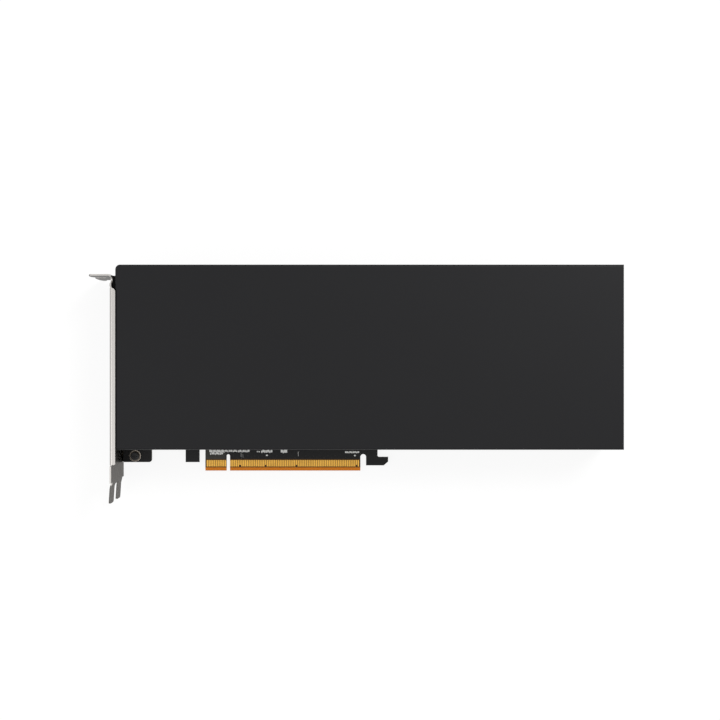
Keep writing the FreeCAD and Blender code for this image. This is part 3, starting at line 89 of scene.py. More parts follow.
class Tree:
    """A node tree, with short ways to add and join its nodes."""

    def __init__(self, tree: bpy.types.NodeTree) -> None:
        """Empties the tree and holds it."""
        tree.nodes.clear()
        self.tree = tree

    def feed(self, socket: Socket, value: object) -> None:
        """Joins a socket to another one, or sets its value.

        Args:
            socket: the input to feed.
            value: a socket, a number, a colour or a vector.
        """
        if isinstance(value, bpy.types.NodeSocket):
            self.tree.links.new(value, socket)
        elif socket.type == "RGBA":
            socket.default_value = (*value, 1.0)
        else:
            socket.default_value = value

    def feed_all(self, made: bpy.types.Node, inputs: dict[str, object]) -> bpy.types.Node:
        """Feeds a node's inputs.

        Args:
            made: the node.
            inputs: sockets or values under the inputs' names, with _ for a space.

        Returns:
            The same node.
        """
        for name, value in inputs.items():
            self.feed(made.inputs[name.replace("_", " ")], value)
        return made

    def node(self, kind: str, **inputs: object) -> bpy.types.Node:
        """Adds a node and feeds its inputs.

        Args:
            kind: the node's type, without the leading "ShaderNode".
            inputs: sockets or values under the inputs' names, with _ for a space.

        Returns:
            The new node.
        """
        return self.feed_all(self.tree.nodes.new(f"ShaderNode{kind}"), inputs)

    def group(self, group: bpy.types.NodeTree, **inputs: object) -> bpy.types.Node:
        """Adds a node that holds a group and feeds its inputs.

        Args:
            group: the group's tree.
            inputs: sockets or values under the inputs' names, with _ for a space.

        Returns:
            The new node.
        """
        made = self.tree.nodes.new("ShaderNodeGroup")
        made.node_tree = group
        return self.feed_all(made, inputs)

    def math(self, operation: str, *values: object) -> Socket:
        """Adds a Math node.

        Args:
            operation: what it does, such as "MULTIPLY".
            values: up to three sockets or numbers.

        Returns:
            Its result.
        """
        made = self.tree.nodes.new("ShaderNodeMath")
        made.operation = operation
        for socket, value in zip(made.inputs, values):
            self.feed(socket, value)
        return made.outputs[0]

    def vector(self, operation: str, first: object, second: object) -> bpy.types.Node:
        """Adds a Vector Math node.

        Args:
            operation: what it does, such as "DOT_PRODUCT".
            first: a socket or vector.
            second: a socket, a vector, or the factor of a "SCALE".

        Returns:
            The new node.
        """
        made = self.tree.nodes.new("ShaderNodeVectorMath")
        made.operation = operation
        self.feed(made.inputs[0], first)
        self.feed(made.inputs["Scale" if operation == "SCALE" else 1], second)
        return made

    def blend(self, factor: object, first: object, second: object) -> Socket:
        """Adds a colour Mix node.

        Args:
            factor: the share of the second colour.
            first: a colour or socket.
            second: a colour or socket.

        Returns:
            The mixed colour.
        """
        made = self.tree.nodes.new("ShaderNodeMix")
        made.data_type = "RGBA"
        for index, value in ((0, factor), (6, first), (7, second)):
            self.feed(made.inputs[index], value)
        return made.outputs[2]

    def ramp(self, value: object, low: object, high: object) -> Socket:
        """A smooth step from 0 at low to 1 at high.

        Args:
            value: the socket to map.
            low: where it starts.
            high: where it ends.

        Returns:
            The stepped value.
        """
        made = self.node("MapRange", Value=value, From_Min=low, From_Max=high)
        made.interpolation_type = "SMOOTHSTEP"
        return made.outputs["Result"]

    def place(self) -> Socket:
        """The point on the object, in its own metres."""
        return self.node("TexCoord").outputs["Object"]

    def noise(self, place: object, scale: object, detail: float) -> Socket:
        """Adds a noise texture.

        Args:
            place: the point to read it at.
            scale: features per metre.
            detail: octaves.

        Returns:
            Its value, 0 to 1.
        """
        return self.node("TexNoise", Vector=place, Scale=scale, Detail=detail).outputs[0]


SOCKET_KINDS = {float: "NodeSocketFloat", tuple: "NodeSocketColor", Vector: "NodeSocketVector"}
SURFACE_OUTPUTS = {
    "Colour": "NodeSocketColor",
    "Roughness": "NodeSocketFloat",
    "Height": "NodeSocketFloat",
}


def new_group(
    name: str, inputs: dict[str, float | Colour | Vector], outputs: dict[str, str]
) -> tuple[Tree, Sockets, Sockets]:
    """Starts a shader node group.

    Args:
        name: the group's name.
        inputs: the default of each input, a number, colour or vector, under its name.
        outputs: the socket type of each output, under its name.

    Returns:
        The group's tree, the outputs of its input node and the inputs of its output node.
    """
    group = bpy.data.node_groups.new(name, "ShaderNodeTree")
    for label, default in inputs.items():
        kind = SOCKET_KINDS[type(default)]
        socket = group.interface.new_socket(label, in_out="INPUT", socket_type=kind)
        socket.default_value = (*default, 1.0) if isinstance(default, tuple) else default
    for label, kind in outputs.items():
        group.interface.new_socket(label, in_out="OUTPUT", socket_type=kind)
    tree = Tree(group)
    enter = group.nodes.new("NodeGroupInput")
    leave = group.nodes.new("NodeGroupOutput")
    return tree, enter.outputs, leave.inputs


def vary_surface(
    tree: Tree, given: Sockets, made: Sockets, swing: Socket, height: Socket
) -> bpy.types.NodeTree:
    """Fills a surface group's outputs, with tone and gloss shifted by a swing about 0.

    Args:
        tree: the group's tree.
        given: the outputs of its input node.
        made: the inputs of its output node.
        swing: what shifts them.
        height: the relief.

    Returns:
        The group.
    """
    tone = tree.math("MULTIPLY_ADD", swing, given["Tone Spread"], 1.0)
    gloss = tree.math("MULTIPLY_ADD", swing, given["Gloss Spread"], given["Roughness"])
    tree.feed(made["Colour"], tree.vector("SCALE", given["Colour"], tone).outputs[0])
    tree.feed(made["Roughness"], gloss)
    tree.feed(made["Height"], height)
    return tree.tree


@cache
def grain_group() -> bpy.types.NodeTree:
    """The shared grain: fine and broad noise that shift tone, gloss and relief.

    Returns:
        The group, with the outputs Colour, Roughness and Height.
    """
    inputs = {
        "Colour": (0.5, 0.5, 0.5),
        "Tone Spread": 0.1,
        "Roughness": 0.5,
        "Gloss Spread": 0.1,
        "Fine Scale": 4000.0,
        "Broad Scale": 30.0,
    }
    tree, given, made = new_group("surface_grain", inputs, SURFACE_OUTPUTS)
    place = tree.place()
    fine = tree.noise(place, given["Fine Scale"], detail=3.0)
    broad = tree.noise(place, given["Broad Scale"], detail=2.0)
    swing = tree.math("SUBTRACT", tree.math("ADD", fine, broad), 1.0)
    return vary_surface(tree, given, made, swing, fine)


@cache
def brush_group() -> bpy.types.NodeTree:
    """The shared brushing: noise drawn out along one direction.

    Returns:
        The group, with the outputs Colour, Roughness and Height.
    """
    inputs = {
        "Colour": (0.5, 0.5, 0.5),
        "Tone Spread": 0.1,
        "Roughness": 0.3,
        "Gloss Spread": 0.1,
        "Fine Scale": 4000.0,
        "Stretch": Vector((1.0, 1.0, 1.0)),
    }
    tree, given, made = new_group("brushing", inputs, SURFACE_OUTPUTS)
    drawn = tree.vector("MULTIPLY", tree.place(), given["Stretch"]).outputs[0]
    lines = tree.noise(drawn, given["Fine Scale"], detail=4.0)
    swing = tree.math("MULTIPLY_ADD", lines, 2.0, -1.0)
    return vary_surface(tree, given, made, swing, lines)


@cache
def edge_group() -> bpy.types.NodeTree:
    """The shared painted edge highlight: how far a bevelled normal leaves the true one marks the edges of
    a piece, which are painted lighter.

    The painted highlight starts and is full at two cosines of the angle between both, and noise breaks it
    up.

    Returns:
        The group, with the output Colour.
    """
    highlight_starts, highlight_full = 0.995, 0.8
    breakup_scale, breakup_spread, breakup_least = 900.0, 0.8, 0.5
    inputs = {"Colour": (0.5, 0.5, 0.5), "Edge Colour": (0.7, 0.7, 0.7), "Width": 0.0002, "Amount": 0.3}
    tree, given, made = new_group("edge_wear", inputs, {"Colour": "NodeSocketColor"})
    bevel = tree.node("Bevel", Radius=given["Width"])
    bevel.samples = 4
    true_normal = tree.node("NewGeometry").outputs["True Normal"]
    turned = tree.vector("DOT_PRODUCT", bevel.outputs[0], true_normal).outputs["Value"]
    edge = tree.ramp(turned, highlight_starts, highlight_full)
    breakup = tree.noise(tree.place(), breakup_scale, detail=3.0)
    broken = tree.math("MULTIPLY_ADD", breakup, breakup_spread, breakup_least)
    mask = tree.math("MULTIPLY", tree.math("MULTIPLY", edge, broken), given["Amount"])
    tree.feed(made["Colour"], tree.blend(mask, given["Colour"], given["Edge Colour"]))
    return tree.tree


# Finishes

@dataclass(frozen=True)
class Finish:
    """A finish: colour and gloss, the pattern that varies them, and a painted highlight along its edges.

    slant is how much of a metal's shine is left where it is seen at a slant, and brush_draw the
    share of the noise's scale that is left along the brushing.
    """

    name: str
    colour: Colour
    roughness: float
    metallic: float = 0.0
    specular: float = 0.5
    coat: float = 0.0
    slant: float = 1.0
    pattern: Pattern = Pattern.GRAINED
    brushed: Axis = Axis.ALONG
    brush_draw: float = 0.02
    tone_spread: float = 0.1
    gloss_spread: float = 0.06
    fine: float = 5000.0
    broad: float = 25.0
    relief: float = 0.01 * MM
    # edge_colour, edge_width and edge_amount set the painted highlight along the edges.
    edge_colour: Colour = (0.5, 0.5, 0.5)
    edge_width: float = 0.15 * MM
    edge_amount: float = 0.15

    def pattern_node(self, tree: Tree) -> bpy.types.Node:
        """The grain or brushing, with this finish's values.

        Args:
            tree: the material's tree.

        Returns:
            The group's node.
        """
        shared = {
            "Colour": self.base(tree),
            "Tone_Spread": self.tone_spread,
            "Roughness": self.roughness,
            "Gloss_Spread": self.gloss_spread,
            "Fine_Scale": self.fine,
        }
        if self.pattern is Pattern.GRAINED:
            return tree.group(grain_group(), Broad_Scale=self.broad, **shared)
        stretch = [1.0, 1.0, 1.0]
        stretch[self.brushed.value] = self.brush_draw
        return tree.group(brush_group(), Stretch=stretch, **shared)

    def base(self, tree: Tree) -> object:
        """The colour before grain and wear: plain here, and zoned in some finishes."""
        return self.colour

    def height(self, tree: Tree, grain: Socket) -> Socket:
        """The relief that the bump follows: the grain here, with more in some finishes."""
        return grain

    def material(self) -> bpy.types.Material:
        """Builds the material once.

        Returns:
            The material, which later calls return again.
        """
        if self.name in bpy.data.materials:
            return bpy.data.materials[self.name]
        material = bpy.data.materials.new(self.name)
        material.use_nodes = True
        tree = Tree(material.node_tree)
        pattern = self.pattern_node(tree)
        # Painted highlight: the edge group blends the edges towards the edge colour.
        edge = tree.group(
            edge_group(),
            Colour=pattern.outputs["Colour"],
            Edge_Colour=self.edge_colour,
            Width=self.edge_width,
            Amount=self.edge_amount,
        )
        relief = self.height(tree, pattern.outputs["Height"])
        bump = tree.node("Bump", Strength=1.0, Distance=self.relief, Height=relief)
        shader = tree.node(
            "BsdfPrincipled",
            Base_Color=edge.outputs["Colour"],
            Roughness=pattern.outputs["Roughness"],
            Metallic=self.metallic,
            Normal=bump.outputs[0],
        )
        shader.inputs["Specular IOR Level"].default_value = self.specular
        shader.inputs["Coat Weight"].default_value = self.coat
        shader.inputs["Specular Tint"].default_value = (self.slant, self.slant, self.slant, 1.0)
        tree.feed(tree.node("OutputMaterial").inputs["Surface"], shader.outputs[0])
        return material


@dataclass(frozen=True)
class SolderMask(Finish):
    """The board's finish: black mask over faint tracks, bare laminate at the contacts, bevel and rim.

    Places are the board's own, and each fade is the width over which one zone gives way to the next.
    A track's flank and crest are shares of the pitch from its middle.
    """

    bevel_top: float = 0.0
    mask_foot: float = 0.0
    track_top: float = 0.0
    track_start: float = 0.0
    track_pitch: float = 1.0 * MM
    track_flank: float = 0.18
    track_crest: float = 0.08
    track_rise: float = 2.0
    track_foot_fade: float = 0.3 * MM
    track_top_fade: float = 1.0 * MM
    tongue_end: float = 0.0
    tongue_side: float = 1.0 * MM
    painted_sheen_end: float = 0.0
    painted_sheen_fade: float = 2.0 * MM
    zone_fade: float = 0.05 * MM
    rim_turned: float = 0.2
    rim_gone: float = 0.5
    painted_sheen_colour: Colour = (0.05, 0.047, 0.04)
    bevel_colour: Colour = (0.75, 0.22, 0.01)
    laminate: Colour = (0.11, 0.05, 0.008)
    rim: Colour = (0.17, 0.15, 0.09)

    def base(self, tree: Tree) -> Socket:
        """Mask, laminate and bevel by their height up the tongue, and the rim where the face turns away.

        Painted sheen: the mask is paler at the start of the tongue, above the contacts, and fades back
        along the card.

        Args:
            tree: the material's tree.

        Returns:
            The zoned colour.
        """
        place = tree.node("SeparateXYZ", Vector=tree.place())
        along, across = place.outputs["X"], place.outputs["Y"]
        soft = self.zone_fade
        first = self.track_start - self.tongue_side
        last = self.tongue_end + self.tongue_side
        started = tree.ramp(along, first - soft, first)
        tongue = tree.math("MULTIPLY", started, tree.ramp(along, last + soft, last))
        above_foot = tree.ramp(across, self.mask_foot - soft, self.mask_foot + soft)
        masked = tree.math("MAXIMUM", above_foot, tree.math("SUBTRACT", 1.0, tongue))
        above_bevel = tree.ramp(across, self.bevel_top - soft, self.bevel_top + soft)
        bare_and_painted_shade = tree.blend(above_bevel, self.bevel_colour, self.laminate)
        # Painted sheen: a paler mask tone, full up to painted_sheen_end and fading out over
        # painted_sheen_fade.
        faded = tree.ramp(along, self.painted_sheen_end + self.painted_sheen_fade, self.painted_sheen_end)
        painted_sheen = tree.math("MULTIPLY", tongue, faded)
        zoned = tree.blend(masked, bare_and_painted_shade, tree.blend(painted_sheen, self.colour, self.painted_sheen_colour))
        normal = tree.node("NewGeometry").outputs["True Normal"]
        facing = tree.math("ABSOLUTE", tree.node("SeparateXYZ", Vector=normal).outputs["Z"])
        return tree.blend(tree.ramp(facing, self.rim_turned, self.rim_gone), self.rim, zoned)

    def height(self, tree: Tree, grain: Socket) -> Socket:
        """Adds the tracks above the contacts: a ridge at each pitch, which fades out at track_top.

        Args:
            tree: the material's tree.
            grain: the grain's height.

        Returns:
            The sum of both.
        """
        place = tree.node("SeparateXYZ", Vector=tree.place())
        along, across = place.outputs["X"], place.outputs["Y"]
        steps = tree.math("DIVIDE", tree.math("SUBTRACT", along, self.track_start), self.track_pitch)
        away = tree.math("ABSOLUTE", tree.math("SUBTRACT", tree.math("FRACT", steps), 0.5))
        ridge = tree.ramp(away, self.track_flank, self.track_crest)
        above = tree.ramp(across, self.mask_foot, self.mask_foot + self.track_foot_fade)
        below = tree.ramp(across, self.track_top, self.track_top - self.track_top_fade)
        tracks = tree.math("MULTIPLY", ridge, tree.math("MULTIPLY", above, below))
        return tree.math("MULTIPLY_ADD", tracks, self.track_rise, grain)


@dataclass(frozen=True)
class PlatedSheet(Finish):
    """The bracket's finish: plated sheet whose cut edges at the prongs, where they face up, are painted
    darker as painted shade.
    """

    prong_top: float = 0.0
    prong_fade: float = 0.4 * MM
    painted_shade_colour: Colour = (0.1, 0.098, 0.092)
    cut_turned: float = 0.6
    cut_faces_up: float = 0.8

    def base(self, tree: Tree) -> Socket:
        """Plating, and painted shade on the prongs' cut edges, which face up from the card.

        Args:
            tree: the material's tree.

        Returns:
            The zoned colour.
        """
        across = tree.node("SeparateXYZ", Vector=tree.place()).outputs["Y"]
        normal = tree.node("NewGeometry").outputs["True Normal"]
        facing = tree.math("ABSOLUTE", tree.node("SeparateXYZ", Vector=normal).outputs["Z"])
        low = tree.ramp(across, self.prong_top + self.prong_fade, self.prong_top - self.prong_fade)
        # Painted shade: the up-facing cut edges of the prongs are darkened.
        bare_and_painted_shade = tree.math("MULTIPLY", low, tree.ramp(facing, self.cut_turned, self.cut_faces_up))
        return tree.blend(bare_and_painted_shade, self.colour, self.painted_shade_colour)


BLACK_COAT = Finish(
    "black_coat", (0.0116, 0.0116, 0.0127), 0.44, specular=0.13, tone_spread=0.06, fine=9000.0,
    relief=0.006 * MM, edge_colour=(0.05, 0.05, 0.052), edge_width=0.3 * MM, edge_amount=0.4,
)
BACK_COAT = Finish(
    "back_coat", (0.016, 0.016, 0.018), 0.6, specular=0.25, tone_spread=0.08, fine=7000.0,
    edge_colour=(0.06, 0.06, 0.06), edge_width=0.25 * MM,
)
# Painted shade and painted highlight: the washer's face is painted dark for the shroud's shadow on it, and
# its rim is painted bright for the highlight on its edge.
WASHER_SHADE_AND_HIGHLIGHT = Finish(
    "washer_plate", (0.13, 0.11, 0.09), 0.24, metallic=1.0, tone_spread=0.06, fine=3000.0,
    relief=0.001 * MM, edge_colour=(0.9, 0.82, 0.72), edge_width=0.32 * MM, edge_amount=1.0,
)
BLACK_OXIDE = Finish(
    "black_oxide", (0.014, 0.014, 0.015), 0.34, metallic=0.35, tone_spread=0.15, fine=6000.0,
    relief=0.004 * MM, edge_colour=(0.12, 0.12, 0.12), edge_width=0.1 * MM, edge_amount=0.5,
)
ZINC = Finish(
    "zinc_plate", (0.55, 0.56, 0.58), 0.3, metallic=1.0, tone_spread=0.08, fine=4000.0,
    relief=0.002 * MM, edge_colour=(0.75, 0.75, 0.75),
)
SPRING = Finish(
    "spring_steel", (0.48, 0.48, 0.5), 0.32, metallic=1.0, pattern=Pattern.BRUSHED,
    tone_spread=0.12, gloss_spread=0.1, fine=3000.0, relief=0.003 * MM,
    edge_colour=(0.7, 0.7, 0.7), edge_amount=0.4,
)
HARD_GOLD = Finish(
    "hard_gold", (0.76, 0.415, 0.075), 0.24, metallic=1.0, tone_spread=0.4, gloss_spread=0.08,
    fine=6000.0, broad=400.0, relief=0.002 * MM, edge_colour=(0.95, 0.68, 0.28), edge_width=0.06 * MM,
    edge_amount=0.5,
)
CASTING = Finish(
    "cast_black", (0.03, 0.03, 0.033), 0.5, metallic=0.3, tone_spread=0.2, gloss_spread=0.12,
    fine=1800.0, relief=0.03 * MM, edge_colour=(0.2, 0.2, 0.2), edge_width=0.2 * MM,
)
MILLED = Finish(
    "milled_plate", (0.7, 0.7, 0.71), 0.3, metallic=1.0, pattern=Pattern.BRUSHED,
    tone_spread=0.1, gloss_spread=0.1, fine=2200.0, relief=0.003 * MM, edge_colour=(0.85, 0.85, 0.85),
)
FIN_SHEET = Finish(
    "fin_sheet", (0.76, 0.76, 0.77), 0.26, metallic=1.0, pattern=Pattern.BRUSHED,
    tone_spread=0.08, gloss_spread=0.08, fine=1800.0, relief=0.002 * MM, edge_colour=(0.9, 0.9, 0.9),
)
FILM = Finish(
    "black_film", (0.018, 0.018, 0.02), 0.4, tone_spread=0.05, fine=3000.0, relief=0.004 * MM,
)
SUBSTRATE = Finish(
    "green_laminate", (0.025, 0.085, 0.035), 0.45, tone_spread=0.15, fine=3500.0, relief=0.006 * MM,
)
SILICON = Finish(
    "polished_silicon", (0.1, 0.1, 0.12), 0.12, metallic=0.6, tone_spread=0.05, fine=900.0,
    relief=0.0005 * MM,
)
STIFFENER = Finish(
    "satin_nickel", (0.58, 0.57, 0.55), 0.34, metallic=1.0, tone_spread=0.06, relief=0.002 * MM,
)
THERMAL_PAD = Finish(
    "thermal_pad", (0.3, 0.34, 0.38), 0.8, tone_spread=0.12, fine=2500.0, relief=0.03 * MM,
)
FOAM = Finish(
    "black_foam", (0.03, 0.03, 0.03), 0.9, tone_spread=0.3, fine=2200.0, relief=0.08 * MM,
)
# Painted shade: a near-black strip put in the gap between the bracket's flange and the shroud.
GAP_SHADE = Finish(
    "seal_foam", (0.004, 0.004, 0.004), 0.95, specular=0.05, tone_spread=0.3, fine=2600.0,
    relief=0.05 * MM, edge_amount=0.0,
)
FERRITE = Finish(
    "pressed_ferrite", (0.075, 0.075, 0.08), 0.7, tone_spread=0.35, fine=3800.0, relief=0.03 * MM,
)
CHIP_RESIN = Finish(
    "moulded_resin", (0.016, 0.016, 0.017), 0.55, tone_spread=0.15, fine=6500.0, relief=0.012 * MM,
)
CAN = Finish(
    "drawn_can", (0.68, 0.68, 0.7), 0.24, metallic=1.0, tone_spread=0.05, fine=2500.0,
    relief=0.002 * MM, edge_colour=(0.85, 0.85, 0.85),
)
NYLON = Finish(
    "moulded_nylon", (0.015, 0.015, 0.016), 0.45, tone_spread=0.1, fine=4500.0, relief=0.015 * MM,
    edge_colour=(0.06, 0.06, 0.06), edge_width=0.15 * MM,
)
TINNED = Finish(
    "tinned_pin", (0.68, 0.66, 0.62), 0.3, metallic=1.0, tone_spread=0.08, fine=4000.0,
    relief=0.002 * MM,
)
WHITE_INK = Finish(
    "white_ink", (0.93, 0.93, 0.9), 0.6, specular=0.3, tone_spread=0.15, fine=9000.0, broad=1200.0,
    relief=0.004 * MM, edge_amount=0.0,
)


# Meshes worked out with numpy

def superellipse(turns: int, squareness: float) -> np.ndarray:
    """A ring of points: the cosine and sine of the turn, each raised to 1 / squareness.

    Args:
        turns: how many points.
        squareness: 1 for a circle, higher for a squarer ring.

    Returns:
        The points, N by 2, within 1 of the middle each way.
    """
    turn = np.linspace(0.0, 2.0 * np.pi, turns, endpoint=False)
    ring = np.stack([np.cos(turn), np.sin(turn)], axis=1)
    return np.sign(ring) * np.abs(ring) ** (1.0 / squareness)


def joined(meshes: Iterable[Mesh]) -> Mesh:
    """Puts meshes together.

    Args:
        meshes: points and faces of each.

    Returns:
        All points, and all faces with their numbers moved up.
    """
    listed = list(meshes)
    starts = np.cumsum([0] + [len(points) for points, _ in listed[:-1]])
    points = np.concatenate([points for points, _ in listed])
    return points, np.concatenate([faces + start for (_, faces), start in zip(listed, starts)])


def spots(centres: np.ndarray, halves: np.ndarray, squareness: float, base: float, thick: float) -> Mesh:
    """Flat printed spots as thin closed pieces.

    Each is a superellipse times its half sizes.  Its profile runs from a pole in the foot out to the
    rim, up to a shoulder at 0.6 of the thickness, in to 0.9 of its size at the top, and back to a
    pole in the top.

    Args:
        centres: the middle of each spot, N by 2.
        halves: half its size along and across, N by 2.
        squareness: 1 for an ellipse, higher for a squarer one.
        base: height of the foot.
        thick: thickness, negative for spots that hang under the board.

    Returns:
        The points and the faces, as arrays.
    """
    turns = 16
    outline = superellipse(turns, squareness)
    top_reach, shoulder = 0.9, 0.6
    reach = np.array([1.0, 1.0, top_reach])
    lift = np.array([0.0, shoulder, 1.0]) * thick + base
    flat = centres[:, None, None, :] + halves[:, None, None, :] * outline * reach[:, None, None]
    up = np.broadcast_to(lift[:, None, None], (len(centres), len(lift), turns, 1))
    rings = np.concatenate([flat, up], axis=3).reshape(len(centres), -1, 3)
    poles = np.stack([
        np.column_stack([centres, np.full(len(centres), height)]) for height in (base, base + thick)
    ], axis=1)
    points = np.concatenate([rings, poles], axis=1)
    here = np.arange(turns)
    following = (here + 1) % turns
    walls = [
        np.stack([here + low, following + low, following + low + turns, here + low + turns], axis=1)
        for low in (0, turns)
    ]
    foot = np.full(turns, 3 * turns)
    floor = np.stack([foot, following, here, here], axis=1)
    roof = np.stack([foot + 1, here + 2 * turns, following + 2 * turns, following + 2 * turns], axis=1)
    faces = np.concatenate([*walls, floor, roof])
    if thick < 0.0:
        faces = faces[:, ::-1]
    shift = np.arange(len(centres)) * points.shape[1]
    return points.reshape(-1, 3), (faces[None] + shift[:, None, None]).reshape(-1, 4)


def drawn_bar(middle: Vector, way: np.ndarray, wide: np.ndarray, thick: float) -> Mesh:
    """A closed bar drawn across the card, whose squarish section is a superellipse.

    Args:
        middle: the middle of its section.
        way: the places of its sections across the card, in rising order.
        wide: half its width at each section, along the card.
        thick: half its thickness, up from the card.

    Returns:
        The points and the faces, as arrays.
    """
    turns, squareness = 20, 3.0
    section = superellipse(turns, squareness)
    count = len(way)
    walls_x = middle.x + (wide[:, None] * section[:, 0]).ravel()
    walls_z = middle.z + thick * np.tile(section[:, 1], count)
    rings = np.column_stack([walls_x, np.repeat(way, turns), walls_z])
    poles = np.array([[middle.x, place, middle.z] for place in way[[0, -1]]])
    here = np.arange(turns)
    following = (here + 1) % turns
    ring = np.arange(count - 1)[:, None] * turns
    beyond = ring + turns
    walls = np.stack([here + beyond, following + beyond, following + ring, here + ring], axis=2)
    pole = np.full(turns, count * turns)
    last = (count - 1) * turns
    start = np.stack([here, here, following, pole], axis=1)
    end = np.stack([following + last, following + last, here + last, pole + 1], axis=1)
    return np.concatenate([rings, poles]), np.concatenate([walls.reshape(-1, 4), start, end])


def new_object(name: str, data: bpy.types.ID) -> bpy.types.Object:
    """Makes an object and links it to the scene.

    Args:
        name: its name.
        data: its mesh, light or camera.

    Returns:
        The object, at the origin.
    """
    made = bpy.data.objects.new(name, data)
    bpy.context.scene.collection.objects.link(made)
    return made


def make_piece(name: str, mesh: Mesh, finish: Finish) -> bpy.types.Object:
    """Makes a new piece that rides on the card.

    Args:
        name: the piece's name.
        mesh: its points and its faces; a triangle has its last corner twice.
        finish: what it looks like.

    Returns:
        The new object, at the origin.
    """
    points, faces = mesh
    corners = [tuple(dict.fromkeys(face)) for face in faces.tolist()]
    data = bpy.data.meshes.new(name)
    data.from_pydata(points.tolist(), [], corners)
    data.update()
    piece = new_object(name, data)
    data.materials.append(finish.material())
    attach(piece, "root")
    return piece


def dress(finish: Finish, *nodes: str) -> list[str]:
    """Puts a finish on CAD nodes.

    Args:
        finish: what they look like.
        nodes: their names.

    Returns:
        The same names.
    """
    for name in nodes:
        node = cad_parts[name]
        if not node.material_slots:
            node.data.materials.append(None)
        for holder in node.material_slots:
            holder.material = finish.material()
    return list(nodes)


# Sub-assemblies

@dataclass(frozen=True)
class PrintedRow:
    """A row of printed marks, measured from the first contact and the contacts' upper ends.

    A mark is twice fill of its length and height.  A sine, whose angle grows by turn from one mark to
    the next, moves it across by up to spread of its height and its half length by spread of its length.
    """

    start: float
    above: float
    step: float
    count: int
    length: float
    height: float
    mark: Mark = Mark.BAR
    seed: int = 1
    turn: float = 2.4
    fill: float = 0.42
    spread: float = 0.12

    def mesh(self, corner: Vector, base: float, thick: float) -> Mesh:
        """Marks side by side, each a little shorter or longer than the last by a sine of its number.

        Args:
            corner: start of the contact row and the contacts' upper ends.
            base: height of the board's face.
            thick: thickness of the ink.

        Returns:
            The points and faces of the row.
        """
        number = np.arange(self.count)
        swing = np.sin(number * self.turn + self.seed)
        along = corner.x + self.start + number * self.step
        across = corner.y + self.above + swing * self.height * self.spread
        halves = np.column_stack([
            self.length * (self.fill + self.spread * swing),
            np.full(self.count, self.height * self.fill),
        ])
        return spots(np.column_stack([along, across]), halves, self.mark.value, base, thick)


